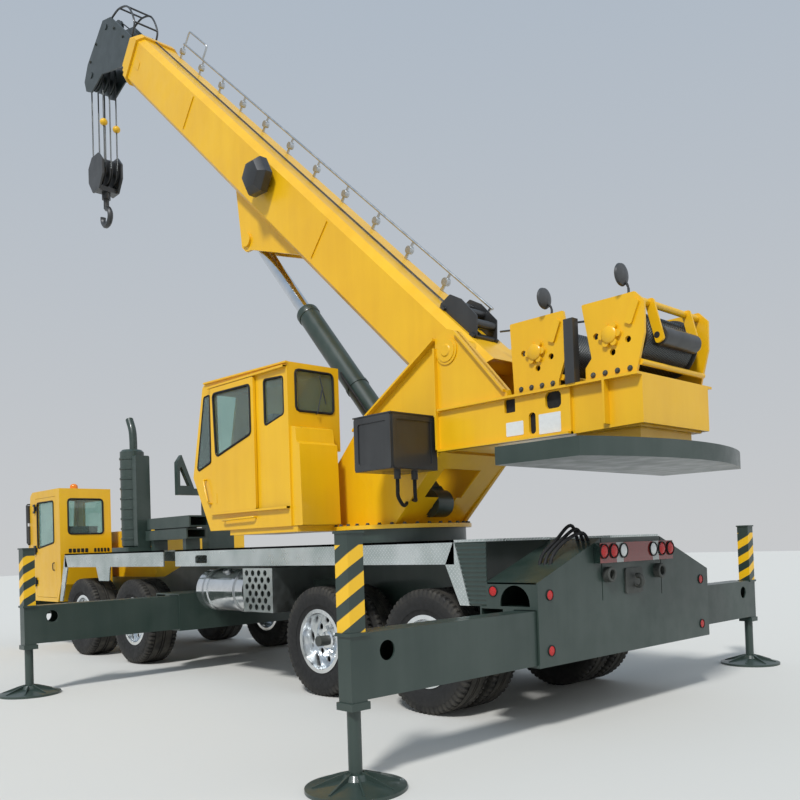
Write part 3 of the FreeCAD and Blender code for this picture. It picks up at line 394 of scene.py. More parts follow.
def tread_plate():
    """Lug height = 1 - 3.2 a^2 - 60 b^2 in each cell, a along the lug and b across it, both from -0.5 to 0.5."""
    material = new_finish("tread_plate", Metallic=0.9)
    x, y, z = axes(material)
    side = maths(material, "ADD", y, z)
    first = maths(material, "DIVIDE", maths(material, "ADD", x, side), LUG_PITCH)
    second = maths(material, "DIVIDE", maths(material, "SUBTRACT", x, side), LUG_PITCH)
    cells = maths(material, "ADD", maths(material, "FLOOR", first), maths(material, "FLOOR", second))
    parity = maths(material, "PINGPONG", cells, 1.0)
    u = maths(material, "SUBTRACT", maths(material, "FRACT", first), 0.5)
    v = maths(material, "SUBTRACT", maths(material, "FRACT", second), 0.5)
    long_way = node(material, "Mix", parity, u, v)
    short_way = node(material, "Mix", parity, v, u)
    dome = maths(material, "SUBTRACT", 1.0, maths(material, "ADD",
                 maths(material, "MULTIPLY", maths(material, "POWER", maths(material, "ABSOLUTE", long_way), 2.0), 3.2),
                 maths(material, "MULTIPLY", maths(material, "POWER", maths(material, "ABSOLUTE", short_way), 2.0),
                       60.0)))
    lug = maths(material, "MAXIMUM", dome, 0.0)
    grime = between(material, noise(material, 2.2), 0.0, 1.0)
    base = blend(material, grime, (0.66, 0.70, 0.69), (0.42, 0.48, 0.46))
    set_colour(material, blend(material, lug, base, (0.80, 0.82, 0.81)))
    set_number(material, "Roughness", between(material, noise(material, 9.0), 0.26, 0.44))
    set_bump(material, lug, 0.0015, 0.8)
    return material


def polished(name, colour, rough, swirl=0.0001):
    material = new_finish(name, Metallic=1.0)
    dull = between(material, noise(material, 6.0), 0.0, 0.5)
    set_colour(material, blend(material, dull, colour, tuple(c * 0.72 for c in colour)))
    set_number(material, "Roughness", between(material, noise(material, 14.0, 3.0), rough, rough + 0.12))
    set_bump(material, noise(material, 60.0, 3.0, 0.6, (1, 6, 1)), swirl, 0.3)
    return material


def step_box_finish():
    """Bright sheet with dull scuffs in random patches."""
    return polished("punched_aluminium", (0.58, 0.62, 0.60), 0.30)


def cast(name, colour, dusty):
    """Rough castings: pitted skin, dust in broad patches."""
    material = new_finish(name, Metallic=0.2)
    set_colour(material, blend(material, between(material, noise(material, 3.0, 5.0), 0.0, 1.0), colour, dusty))
    set_number(material, "Roughness", between(material, noise(material, 12.0), 0.5, 0.72))
    set_bump(material, noise(material, 90.0, 5.0), 0.0008, 0.6)
    return material


tread = tread_plate()
alloy = polished("polished_alloy", (0.84, 0.86, 0.87), 0.10)
punched = step_box_finish()
chrome = polished("chrome_rod", (0.80, 0.83, 0.86), 0.06, 0.00002)
steel = cast("cast_steel", (0.030, 0.036, 0.034), (0.075, 0.078, 0.070))
brass = polished("brass", (0.70, 0.50, 0.20), 0.22)
galvanised = polished("galvanised_steel", (0.52, 0.54, 0.55), 0.34)
print("metals", tread.name, alloy.name, chrome.name)

# %% [markdown]
# ## Rubber, rope, glass, lenses and trim
#
# Tyre rubber is a matte near black that turns browner where it rolls, read from an attribute that the tyre's own
# surface carries. Wire rope is grey steel with the lay of its strands as a slanted wave along its own length. The
# cab glass is tinted green and clear. Lamp lenses are glossy plastic, coloured by where they sit.

# %% Rubber, rope, glass and lens finishes
def rubber(name, clean=(0.014, 0.014, 0.014), dusty=(0.075, 0.068, 0.055)):
    material = new_finish(name, Specular_IOR_Level=0.35)
    worn = node(material, "Attribute", attribute_name="wear_and_hole_shade", out=2)
    patches = between(material, noise(material, 8.0, 4.0), 0.1, 0.7)
    set_colour(material, blend(material, maths(material, "MULTIPLY", worn, patches), clean, dusty))
    set_number(material, "Roughness", between(material, noise(material, 20.0), 0.62, 0.82))
    set_bump(material, noise(material, 140.0, 3.0), 0.0004, 0.5)
    return material


def wire_rope():
    """The lay: a wave along the piece's own UV, slanted round it."""
    material = new_finish("wire_rope", Metallic=0.85)
    u, v, _ = axes(material, node(material, "TexCoord", out=2))
    lay = maths(material, "SINE", maths(material, "MULTIPLY_ADD", v, math.tau * 6, maths(
        material, "MULTIPLY", u, 260.0)))
    strand = node(material, "MapRange", lay, -1.0, 1.0, 0.0, 1.0)
    set_colour(material, blend(material, strand, (0.03, 0.03, 0.03), (0.16, 0.17, 0.17)))
    set_number(material, "Roughness", node(material, "MapRange", strand, 0.0, 1.0, 0.55, 0.30))
    set_bump(material, strand, 0.002, 0.9)
    return material


def cab_glass():
    material = new_finish("cab_glass", Transmission_Weight=0.92, IOR=1.45)
    smear = between(material, noise(material, 3.0), 0.0, 1.0)
    set_colour(material, blend(material, smear, (0.62, 0.80, 0.74), (0.54, 0.72, 0.67)))
    set_number(material, "Roughness", between(material, noise(material, 7.0), 0.01, 0.05))
    return material


def seat_cloth():
    material = new_finish("dark_trim", Sheen_Weight=0.2)
    set_colour(material, blend(material, noise(material, 220.0), (0.018, 0.019, 0.021), (0.05, 0.05, 0.055)))
    set_number(material, "Roughness", between(material, noise(material, 30.0), 0.6, 0.8))
    set_bump(material, noise(material, 400.0), 0.0005, 0.5)
    return material


def lens_colour(material):
    """Amber above the cab roof, clear at the front, red behind, and dark for the bar that carries the rear lamps."""
    x, y, z = axes(material)
    white = maths(material, "COMPARE", y, 0.276, 0.05)
    white = maths(material, "MAXIMUM", white, maths(material, "COMPARE", y, -0.276, 0.05))
    red = blend(material, white, (0.42, 0.006, 0.008), (0.78, 0.80, 0.78))
    housing = maths(material, "MULTIPLY", above(material, x, REAR_FACE - 0.0605),
                    maths(material, "LESS_THAN", maths(material, "ABSOLUTE", y), 0.6))
    colour = blend(material, housing, red, GREEN_GREY)
    colour = blend(material, above(material, x, 0.0), colour, (0.80, 0.82, 0.80))
    return blend(material, above(material, z, 2.522), colour, (0.85, 0.24, 0.01))


def lens():
    material = new_finish("lamp_lens", Coat_Weight=0.6, Coat_Roughness=0.05, Roughness=0.16)
    set_colour(material, lens_colour(material))
    rings = node(material, "TexVoronoi", place(material), 90.0)
    set_bump(material, rings, 0.0012, 0.5)
    return material


def plain_plastic(name, colour, rough=0.35):
    """Small moulded parts and blank plates: one colour, a little mottled, with a fine skin."""
    material = new_finish(name)
    set_colour(material, blend(material, noise(material, 25.0), colour, tuple(c * 0.8 for c in colour)))
    set_number(material, "Roughness", between(material, noise(material, 40.0), rough, rough + 0.15))
    set_bump(material, noise(material, 300.0), 0.0001, 0.4)
    return material


tyre_rubber = rubber("tyre_rubber")
# seal_rubber is also the black of sheets that are painted shade, in the frame cut-outs and behind the front pane
seal_rubber = rubber("seal_rubber", (0.010, 0.010, 0.010))
hose_rubber = rubber("hose_rubber", (0.012, 0.012, 0.013))
rope = wire_rope()
glass = cab_glass()
trim = seat_cloth()
lens_finish = lens()
white_plate = plain_plastic("white_plate", (0.72, 0.74, 0.73))
red_plate = plain_plastic("red_plate", (0.50, 0.012, 0.012), 0.2)
grey_plate = plain_plastic("grey_plate", (0.30, 0.32, 0.32))
amber_plastic = plain_plastic("amber_plastic", (0.80, 0.22, 0.01), 0.15)
print("soft and clear finishes ready")

# %% [markdown]
# ## Finishes on the CAD nodes
#
# A CAD node whose shape is right only needs its material. One table says which finish each node takes; nodes with
# numbered or sided names are matched by how their name starts.

# %% Give every node its finish
NODE_FINISHES = (
    ("boom_1", boom_base_finish), ("boom_4", boom_head_finish), ("boom_", yellow), ("beam_", beam_finish),
    ("driver_cab_glass", glass), ("operator_cab_glass", glass), ("driver_cab_interior", trim),
    ("operator_cab_interior", trim), ("driver_cab", driver_cab_finish), ("driver_door", driver_cab_finish),
    ("operator_", yellow), ("upper_frame", yellow), ("hoist_frames", yellow), ("engine_hood", yellow),
    ("engine", steel), ("decks", tread), ("step_box", punched), ("fuel_tank", alloy), ("rim_", alloy),
    ("tyre_", tyre_rubber), ("axles", steel), ("knuckle_", steel), ("valve_box", black_enamel),
    ("winch_drums", black_enamel), ("hook", black_enamel), ("lift_rod", chrome), ("lamps", lens_finish),
    ("", green_grey))


def finish_nodes():
    for name, obj in nodes.items():
        finish = next(f for start, f in NODE_FINISHES if name.startswith(start))
        obj.data.materials.clear()
        obj.data.materials.append(finish)
    print("nodes with a finish", len(nodes))


finish_nodes()

# %% [markdown]
# ## Mesh helpers
#
# Most of the added pieces are one of four surfaces: a tube along a path, a profile turned about a line, a flat
# outline given a thickness, or a small shape repeated at many places. Each is worked out as one numpy grid, put into
# a mesh in one go, then its doubled seam points are merged and its faces turned outwards.

# %% Helpers for surfaces
def grid_faces(rows, columns, ring=True):
    """Quads between neighbouring rows of a grid; with ring, the last column joins the first."""
    i, j = np.meshgrid(np.arange(rows - 1), np.arange(columns if ring else columns - 1), indexing="ij")
    right = (j + 1) % columns
    quads = np.stack([i * columns + j, i * columns + right, (i + 1) * columns + right, (i + 1) * columns + j], -1)
    return quads.reshape(-1, 4).tolist()


def join(parts):
    """Several (points, faces) pairs as one."""
    points, faces, start = [], [], 0
    for some, quads in parts:
        points.append(np.asarray(some, float).reshape(-1, 3))
        faces += [[start + k for k in face] for face in quads]
        start += len(points[-1])
    return np.concatenate(points), faces


def add_piece(name, parts, finish, body, smooth=40, bevel=0.0, instead_of=None, wear_and_hole_shade=None, lay=None):
    """Makes a mesh object from (points, faces) parts, closes its seams and joins it to a body of the crane."""
    points, faces = join(parts)
    mesh = bpy.data.meshes.new(name)
    mesh.from_pydata(points.tolist(), [], faces)
    # the attribute carries tyre wear, and on the wheel discs the painted shade inside the hand holes
    if wear_and_hole_shade is not None:
        mesh.attributes.new("wear_and_hole_shade", "FLOAT", "POINT").data.foreach_set("value", wear_and_hole_shade.astype(np.float32).ravel())
    if lay is not None:
        corner = np.zeros(len(mesh.loops), dtype=np.int64)
        mesh.loops.foreach_get("vertex_index", corner)
        mesh.uv_layers.new(name="lay").data.foreach_set("uv", lay[corner].astype(np.float32).ravel())
    work = bmesh.new()
    work.from_mesh(mesh)
    bmesh.ops.remove_doubles(work, verts=work.verts, dist=0.00002)
    bmesh.ops.recalc_face_normals(work, faces=work.faces)
    work.to_mesh(mesh)
    work.free()
    mesh.materials.append(finish)
    obj = bpy.data.objects.new(name, mesh)
    bpy.context.scene.collection.objects.link(obj)
    if bevel:
        edge = obj.modifiers.new("edge", "BEVEL")
        edge.width, edge.segments, edge.limit_method, edge.angle_limit = bevel, 2, "ANGLE", math.radians(40)
    mesh.shade_smooth()
    mesh.set_sharp_from_angle(angle=math.radians(smooth))
    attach(obj, body)
    if instead_of:
        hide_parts(*instead_of)
    return obj


def directions(path):
    """Unit directions along a path, from each point's neighbours."""
    step = np.gradient(path, axis=0)
    return step / np.linalg.norm(step, axis=1, keepdims=True)


def tube(path, radius, sides=8, up=(0.13, 0.24, 0.96), seam=False):
    """Point = path + radius (cos v side + sin v over), closed at both ends by rings of no size.

    With seam the first column is doubled, so that a UV laid round the tube doesn't run backwards there.
    """
    path = np.asarray(path, float)
    path = np.concatenate([path[:1], path, path[-1:]])
    radii = np.broadcast_to(np.asarray(radius, float), len(path) - 2)
    radii = np.concatenate([[0.0], radii, [0.0]])[:, None, None]
    ahead = directions(path[1:-1])
    ahead = np.concatenate([ahead[:1], ahead, ahead[-1:]])
    side = np.cross(ahead, up)
    side /= np.linalg.norm(side, axis=1, keepdims=True)
    over = np.cross(side, ahead)
    columns = sides + 1 if seam else sides
    v = np.arange(columns) * math.tau / sides
    ring = np.cos(v)[None, :, None] * side[:, None] + np.sin(v)[None, :, None] * over[:, None]
    return (path[:, None] + radii * ring).reshape(-1, 3), grid_faces(len(path), columns, not seam)


def run_of(path, sides=8):
    """UV of a seamed tube: U is the metres run along its path, V the share of a turn round it."""
    path = np.asarray(path, float)
    run = np.concatenate([[0.0], np.cumsum(np.linalg.norm(np.diff(path, axis=0), axis=1))])
    run = np.concatenate([run[:1], run, run[-1:]])
    u, v = np.meshgrid(run, np.arange(sides + 1) / sides, indexing="ij")
    return np.stack([u, v], -1).reshape(-1, 2)


def loop_tube(path, radius, sides=6, up=(0, 1, 0)):
    """A tube along a closed path in one plane, up being square to that plane."""
    path = np.asarray(path, float)
    ahead = np.roll(path, -1, 0) - np.roll(path, 1, 0)
    ahead /= np.linalg.norm(ahead, axis=1, keepdims=True)
    side = np.cross(ahead, up)
    v = np.arange(sides) * math.tau / sides
    points = path[:, None] + radius * (np.cos(v)[None, :, None] * side[:, None] + np.sin(v)[None, :, None] * up)
    points = np.concatenate([points, points[:1]])
    return points.reshape(-1, 3), grid_faces(len(path) + 1, sides)


def smooth_path(points, steps=10):
    """Catmull-Rom: between b and c the point is the cubic whose ends lean along c - a and d - b."""
    p = np.asarray(points, float)
    p = np.concatenate([2 * p[:1] - p[1:2], p, 2 * p[-1:] - p[-2:-1]])
    a, b, c, d = (p[k:len(p) - 3 + k, None] for k in range(4))
    t = np.linspace(0, 1, steps, endpoint=False)[None, :, None]
    curve = 0.5 * (2 * b + (c - a) * t + (2 * a - 5 * b + 4 * c - d) * t ** 2 + (3 * b - a - 3 * c + d) * t ** 3)
    return np.concatenate([curve.reshape(-1, 3), p[-2:-1]])


def turned(profile, centre, axis, steps=48, start=0.0):
    """Point = centre + along axis + radius (cos v first + sin v second), the profile giving (along, radius)."""
    profile = np.asarray(profile, float)
    axis = np.asarray(axis, float) / np.linalg.norm(axis)
    first = np.cross(axis, (0.0, 0.0, 1.0) if abs(axis[2]) < 0.9 else (1.0, 0.0, 0.0))
    first /= np.linalg.norm(first)
    second = np.cross(axis, first)
    v = start + np.arange(steps) * math.tau / steps
    ring = np.cos(v)[:, None] * first + np.sin(v)[:, None] * second
    points = np.asarray(centre) + profile[:, :1, None].transpose(0, 2, 1) * axis + profile[:, 1, None, None] * ring
    return points.reshape(-1, 3), grid_faces(len(profile), steps)


def rounded(corners, radius, steps=5):
    """A closed outline whose corners are arcs of the given radius, each tangent to its two sides."""
    c = np.asarray(corners, float)
    back, ahead = np.roll(c, 1, 0) - c, np.roll(c, -1, 0) - c
    back /= np.linalg.norm(back, axis=1, keepdims=True)
    ahead /= np.linalg.norm(ahead, axis=1, keepdims=True)
    half = np.arccos(np.clip((back * ahead).sum(1), -1, 1)) / 2
    middle = back + ahead
    middle /= np.linalg.norm(middle, axis=1, keepdims=True)
    centre = c + middle * (radius / np.sin(half))[:, None]
    cut = (radius / np.tan(half))[:, None]
    first, last = c + back * cut - centre, c + ahead * cut - centre
    t = np.linspace(0, 1, steps)[None, :, None]
    arc = first[:, None] * (1 - t) + last[:, None] * t
    arc *= radius / np.linalg.norm(arc, axis=2, keepdims=True)
    return (centre[:, None] + arc).reshape(-1, 2)


def sheet(outline, low, high, to_world):
    """A flat outline with a thickness: two ngons and the quads between them; to_world places (a, b, depth)."""
    outline = np.asarray(outline, float)
    n = len(outline)
    flat = [to_world(outline[:, 0], outline[:, 1], np.full(n, depth)) for depth in (low, high)]
    faces = [list(range(n))[::-1], list(range(n, 2 * n))]
    faces += [[k, (k + 1) % n, n + (k + 1) % n, n + k] for k in range(n)]
    return np.concatenate(flat), faces


def on_side(a, b, depth):
    """An outline in X and Z on a plane of constant Y."""
    return np.stack([a, depth, b], -1)


def on_end(a, b, depth):
    """An outline in Y and Z on a plane of constant X."""
    return np.stack([depth, a, b], -1)


def on_top(a, b, depth):
    return np.stack([a, b, depth], -1)


def card(low, high, radius, steps=4):
    """A rectangle's corners, rounded."""
    (a0, b0), (a1, b1) = low, high
    return rounded([(a0, b0), (a1, b0), (a1, b1), (a0, b1)], radius, steps)


def hexes(places, axis, radius, height):
    """Six-sided bolt heads with a washer each, standing on the places along the axis."""
    parts = []
    for spot in places:
        parts.append(turned([(0, 0), (0, radius * 1.35), (height * 0.25, radius * 1.35), (height * 0.25, 0)],
                            spot, axis, 12))
        parts.append(turned([(height * 0.2, 0), (height * 0.2, radius), (height * 0.85, radius),
                             (height, radius * 0.8), (height, 0)], spot, axis, 6))
    return parts


def triangles(obj):
    return sum(len(p.vertices) - 2 for p in obj.data.polygons)


print("surface helpers ready")

# %% [markdown]
# ## Tyres
#
# A truck tyre is a turned section: beads on the rim, a bulging wall with moulded rings, a shoulder and a flat tread
# with grooves round it and slots across it. A spun profile with a bump map would look smooth at its outline, so the
# grooves and slots are in the surface itself: the radius is the section's radius, less the slot's depth where the
# angle falls in a slot and the station lies near the shoulder. The same array says where the rubber is worn brown.

# %% Tyres with real tread
TYRE_STEPS = 300
SLOT_DEPTH = 0.013
BEAD_RADIUS = 0.2923


def tyre_section(half, radius):
    """(across, radius, how much a slot cuts, wear) from one bead round to the other and back inside."""
    wall = [(-0.72, BEAD_RADIUS, 0, 0), (-0.76, BEAD_RADIUS + 0.022, 0, 0), (-0.90, BEAD_RADIUS + 0.066, 0, 0),
            (-0.915, BEAD_RADIUS + 0.070, 0, 0), (-0.93, BEAD_RADIUS + 0.064, 0, 0),
            (-0.985, BEAD_RADIUS + 0.108, 0, 0), (-0.995, radius - 0.100, 0, 0.1), (-0.985, radius - 0.066, 0, 0.2),
            (-0.955, radius - 0.058, 0.5, 0.5), (-0.94, radius - 0.020, 1, 0.8), (-0.88, radius - 0.006, 1, 1),
            (-0.80, radius - 0.001, 1, 1), (-0.62, radius, 1, 1), (-0.61, radius - 0.012, 0, 0.2),
            (-0.55, radius - 0.012, 0, 0.2), (-0.54, radius, 0, 1), (-0.36, radius, 0, 1),
            (-0.12, radius, 0, 1), (-0.11, radius - 0.012, 0, 0.2), (-0.05, radius - 0.012, 0, 0.2),
            (-0.04, radius, 0, 1)]
    table = np.array(wall + [(-f, r, s, w) for f, r, s, w in wall[::-1]])
    table = np.concatenate([table, table[:1]])
    return table[:, 0] * half, table[:, 1], table[:, 2], table[:, 3]


def tyre_part(x, y, half, radius):
    """Point = centre + across, and radius (cos v, sin v) with radius = section - depth x slot(v) x cut."""
    across, section, cut, wear_and_hole_shade = tyre_section(half, radius)
    v = np.arange(TYRE_STEPS) * math.tau / TYRE_STEPS
    slot = (np.arange(TYRE_STEPS) % 5 < 2).astype(float)
    reach = section[:, None] - SLOT_DEPTH * cut[:, None] * slot[None]
    points = np.stack([x + reach * np.cos(v), np.broadcast_to((y + across)[:, None], reach.shape),
                       radius + reach * np.sin(v)], -1)
    worn = wear_and_hole_shade[:, None] * (1 - 0.7 * cut[:, None] * slot[None])
    return (points.reshape(-1, 3), grid_faces(len(across), TYRE_STEPS)), worn


def wheel_stations():
    """Each wheel: its tag, axle X, side, tyre centre lines, half width and radius."""
    for number, x in enumerate(FRONT_AXLES, 1):
        for tag, side in (("left", 1), ("right", -1)):
            yield "%d_%s" % (number, tag), x, side, (1.030,), 0.200, 0.548
    for number, x in enumerate(REAR_AXLES, 3):
        for tag, side in (("left", 1), ("right", -1)):
            yield "%d_%s" % (number, tag), x, side, (1.070, 0.730), 0.1425, 0.528


def make_tyres():
    total = 0
    for tag, x, side, lines, half, radius in wheel_stations():
        made = [tyre_part(x, side * y, half, radius) for y in lines]
        wear_and_hole_shade = np.concatenate([w.ravel() for _, w in made])
        obj = add_piece("tyre_tread_" + tag, [m for m, _ in made], tyre_rubber, "wheel_" + tag,
                        instead_of=["tyre_" + tag], wear_and_hole_shade=wear_and_hole_shade)
        total += triangles(obj)
    print("tyre triangles", total)


make_tyres()

# %% [markdown]
# ## Wheel discs, hubs and nuts
#
# The polished discs have ten round hand holes and ten nuts round a hub. A boolean cut in eight turned discs would
# make untidy faces, so each disc is one polar grid laid on the rim's face: near a hole the grid rises in a small lip
# and then dips, and the finish turns black inside it as painted shade of the open hole, by an attribute that the grid
# carries.

# %% Discs, hub caps and nuts
HAND_HOLES = 10


def disc_finish():
    """Polished alloy that turns black, as painted shade of the open hand hole, where the hole attribute is 1."""
    material = new_finish("drilled_alloy", Metallic=0.96)
    hole = node(material, "Attribute", attribute_name="wear_and_hole_shade", out=2)
    dull = between(material, noise(material, 6.0), 0.0, 0.5)
    bright = blend(material, dull, (0.84, 0.86, 0.87), (0.62, 0.64, 0.65))
    set_colour(material, blend(material, hole, bright, (0.004, 0.004, 0.004)))
    set_number(material, "Roughness", node(material, "MapRange", hole, 0.0, 1.0, 0.13, 0.8))
    return material


def disc_part(x, y, z, out, inner=0.118, outer=0.258, rise=0.012):
    """Across = rise x dome(r) + lip x ring - dip x hole, r and v polar; the back is the same grid laid flat."""
    steps, rows = 200, 26
    r = np.linspace(inner, outer, rows)[:, None]
    v = (np.arange(steps) * math.tau / steps)[None]
    spoke = (v * HAND_HOLES / math.tau + 0.5) % 1.0 - 0.5
    away = np.hypot((r - 0.205), spoke * math.tau / HAND_HOLES * 0.205) / 0.030
    lip = np.exp(-((away - 1.12) / 0.16) ** 2) * 0.004
    hole = 1 / (1 + np.exp((away - 1.0) / 0.05))
    dome = np.sin(np.pi * (r - inner) / (outer - inner))
    height = 0.0015 + rise * dome + lip - hole * (rise * dome + 0.001)
    front = np.stack([x + r * np.cos(v), np.broadcast_to(y + out * height, (rows, steps)), z + r * np.sin(v)], -1)
    back = np.stack([x + r * np.cos(v), np.full((rows, steps), y), z + r * np.sin(v)], -1)
    points = np.concatenate([front, back[::-1], front[:1]])
    # the hole mask becomes the attribute: black painted shade inside each hand hole
    dark = np.concatenate([hole, np.zeros((rows, steps)), hole[:1]])
    return (points.reshape(-1, 3), grid_faces(2 * rows + 1, steps)), dark


def make_wheel_faces():
    finish = disc_finish()
    total = 0
    for tag, x, side, lines, half, radius in wheel_stations():
        front = len(lines) == 1
        face = side * (1.085 if front else 1.015)
        part, dark = disc_part(x, face, radius, side)
        obj = add_piece("wheel_disc_" + tag, [part], finish, "wheel_" + tag, wear_and_hole_shade=dark)
        v = np.arange(HAND_HOLES) * math.tau / HAND_HOLES + 0.31
        spots = np.stack([x + 0.142 * np.cos(v), np.full(HAND_HOLES, face + side * 0.006), radius + 0.142 * np.sin(v)],
                         -1)
        tip = side * ((1.130 if front else 1.060) - 0.0)
        hub = [(0.0, 0.0), (0.0, 0.093), (0.028, 0.090), (0.040, 0.074), (0.043, 0.030), (0.052, 0.026), (0.052, 0.0)]
        cap = turned(hub, (x, tip, radius), (0, side, 0), 40)
        parts = hexes(spots, (0, side, 0), 0.016, 0.026) + [cap]
        total += triangles(obj) + triangles(add_piece("wheel_nuts_" + tag, parts, alloy, "wheel_" + tag, 30))
    print("disc and nut triangles", total)


make_wheel_faces()

# %% [markdown]
# ## Plates with holes
#
# Much of a crane is flame-cut plate: an outline with holes in it, given a thickness. Cutting the holes with booleans
# would leave long thin faces, so each plate is made straight from its outline and its holes: both flat faces are
# filled between the loops, and every loop gets its wall. The same helper serves the sides, ends, tops and the boom,
# because the last argument says where the flat drawing lies in the world.

# %% Helpers for plates
def plate(outline, low, high, to_world, holes=()):
    """A plate between two depths; the fill between the outline and its holes is triangulated once for both faces."""
    loops = [np.asarray(loop, float) for loop in (outline, *holes)]
    flat = np.concatenate(loops)
    n = len(flat)
    fill = geometry.tessellate_polygon([[Vector((a, b, 0.0)) for a, b in loop] for loop in loops])
    faces = [list(t) for t in fill] + [[n + k for k in reversed(t)] for t in fill]
    start = 0
    for loop in loops:
        m = len(loop)
        faces += [[start + k, start + (k + 1) % m, n + start + (k + 1) % m, n + start + k] for k in range(m)]
        start += m
    points = [to_world(flat[:, 0], flat[:, 1], np.full(n, depth)) for depth in (low, high)]
    return np.concatenate(points), faces


def round_hole(a, b, radius, sides=20):
    v = np.arange(sides) * math.tau / sides
    return np.stack([a + radius * np.cos(v), b + radius * np.sin(v)], -1)


def slewed(outline):
    """Outline stations along X are given from the slew axis; this puts them in the world."""
    return [(a + SLEW_X, b) for a, b in outline]


def block(x, y, z, to_world=None):
    """A squared bar between two X, two Y and two Z, X counted from the slew axis."""
    return plate(slewed([(x[0], z[0]), (x[1], z[0]), (x[1], z[1]), (x[0], z[1])]), y[0], y[1], on_side)


def both_sides(part):
    """A piece and its mirror image on the other side of the crane."""
    points, faces = part
    return [part, (points * np.array([1.0, -1.0, 1.0]), [face[::-1] for face in faces])]


def along_boom(a, b, depth):
    return on_boom(a, depth, b)


def round_bar(start, end, radius, sides=16):
    return tube([start, end], radius, sides)


print("plate helpers ready")

# %% [markdown]
# ## Hoist frames
#
# Each winch sits between two flame-cut yellow plates. The outer face carries a hydraulic motor on a six-lobed hub, a
# pawl, two round holes and a row of bolts; tie bars join the plates, and over the rear drum two arms hold a roller
# that presses the rope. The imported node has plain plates, so this piece takes its place on the same drum lines.

# %% Hoist plates, hubs and roller arms
SHELF = 2.680
PLATE_IN, PLATE_OUT = 0.490, 0.515
HOIST_OUTLINES = (
    [(0.240, 0), (0.240, 0.110), (0.180, 0.180), (0.260, 0.622), (-0.219, 0.622), (-0.297, 0.538),
     (-0.291, 0.296), (-0.211, 0)],
    [(0.250, 0), (0.250, 0.080), (0.272, 0.622), (-0.283, 0.622), (-0.331, 0.337), (-0.218, 0.057), (-0.218, 0)])
HOIST_HOLES = ((0.134, 0.015), (-0.012, -0.135), (-0.150, -0.060))


def hoist_parts(centre, outline):
    shape = [(centre + a, SHELF + b) for a, b in outline]
    holes = [round_hole(centre + a, DRUM_Z + b, 0.026) for a, b in HOIST_HOLES]
    side = [plate(rounded(shape, 0.012, 3), PLATE_IN, PLATE_OUT, on_side, holes),
            turned([(0, 0), (0, 0.066), (0.034, 0.066), (0.044, 0.054), (0.044, 0)], (centre, PLATE_OUT, DRUM_Z),
                   (0, 1, 0), 32)]
    for k in range(6):
        v = k * math.tau / 6
        spot = (centre + 0.072 * math.cos(v), PLATE_OUT, DRUM_Z + 0.072 * math.sin(v))
        side.append(turned([(0, 0), (0, 0.027), (0.028, 0.027), (0.028, 0)], spot, (0, 1, 0), 16))
    pawl = [(centre - 0.190, DRUM_Z + 0.040), (centre - 0.130, DRUM_Z + 0.070), (centre - 0.210, DRUM_Z + 0.250),
            (centre - 0.265, DRUM_Z + 0.210)]
    side.append(plate(rounded(pawl, 0.018), PLATE_OUT, PLATE_OUT + 0.022, on_side))
    parts = [piece for part in side for piece in both_sides(part)]
    for a, b in ((0.205, 0.225), (-0.235, -0.245)):
        parts.append(round_bar((centre + a, -PLATE_IN, DRUM_Z + b), (centre + a, PLATE_IN, DRUM_Z + b), 0.024))
    return parts


def roller_arms():
    x, z = SLEW_X - 3.190, 3.255
    arm = [(x + 0.030, z + 0.030), (x - 0.050, z + 0.030), (x - 0.132, 2.950), (x - 0.062, 2.920)]
    parts = [round_bar((x, -PLATE_IN, z), (x, PLATE_IN, z), 0.028)]
    parts += both_sides(plate(rounded(arm, 0.02), 0.278, 0.298, on_side))
    return parts


add_piece("hoist_plates", hoist_parts(DRUM_X[0], HOIST_OUTLINES[0]) + hoist_parts(DRUM_X[1], HOIST_OUTLINES[1])
          + roller_arms(), yellow, "upper", instead_of=["hoist_frames"])


def hoist_bolts():
    spots = [(centre + a, y * PLATE_OUT, SHELF + 0.045) for centre in DRUM_X for y in (1, -1)
             for a in (-0.16, -0.05, 0.06, 0.17)]
    return [part for x, y, z in spots for part in hexes([(x, y, z)], (0, math.copysign(1, y), 0), 0.017, 0.018)]


add_piece("hoist_bolts", hoist_bolts(), steel, "upper", 30)
print("hoist frames made")

# %% [markdown]
# ## Drums, rope coils, roller and round mirrors
#
# The drums are black castings with thin flanges. Rope lies on them in close turns, two layers deep. The coil is a
# helix: the angle grows steadily while the line moves one rope's width along Y each turn, and it is swept as a tube
# with its own UV, so that the strands follow it.

# %% Drums and rope
DRUM_HALF = 0.400
ROPE_RADIUS = 0.010


def drum_parts(x):
    flange = [(-0.40, 0), (-0.40, 0.235), (-0.393, 0.250), (-0.387, 0.250), (-0.380, 0.235), (-0.380, 0.190),
              (0.380, 0.190), (0.380, 0.235), (0.387, 0.250), (0.393, 0.250), (0.400, 0.235), (0.400, 0)]
    parts = [turned(flange, (x, 0, DRUM_Z), (0, 1, 0), 72)]
    parts.append(round_bar((x, -PLATE_IN, DRUM_Z), (x, PLATE_IN, DRUM_Z), 0.060, 24))
    return parts


def coil(x, radius, turns=37, steps=36):
    """Point = (x + r cos v, pitch v / turn - half, z + r sin v), v running through all the turns."""
    v = np.linspace(0, turns * math.tau, turns * steps)
    y = -0.368 + 0.736 * v / v[-1]
    return np.stack([x + radius * np.cos(v), y, DRUM_Z + radius * np.sin(v)], -1)


def add_rope(name, paths, body, sides=6):
    parts = [tube(path, ROPE_RADIUS, sides, (0.11, 0.97, 0.21), True) for path in paths]
    lay = np.concatenate([run_of(path, sides) for path in paths])
    return add_piece(name, parts, rope, body, 60, lay=lay)


def roller_and_post():
    x, z = SLEW_X - 3.262, 2.990
    profile = [(-0.27, 0), (-0.27, 0.070), (-0.262, 0.078), (0.262, 0.078), (0.27, 0.070), (0.27, 0)]
    parts = [turned(profile, (x, 0, z), (0, 1, 0), 40), round_bar((x, -0.30, z), (x, 0.30, z), 0.025)]
    parts.append(block((-2.700, -2.610), (0.525, 0.600), (SHELF, 3.200)))
    return parts


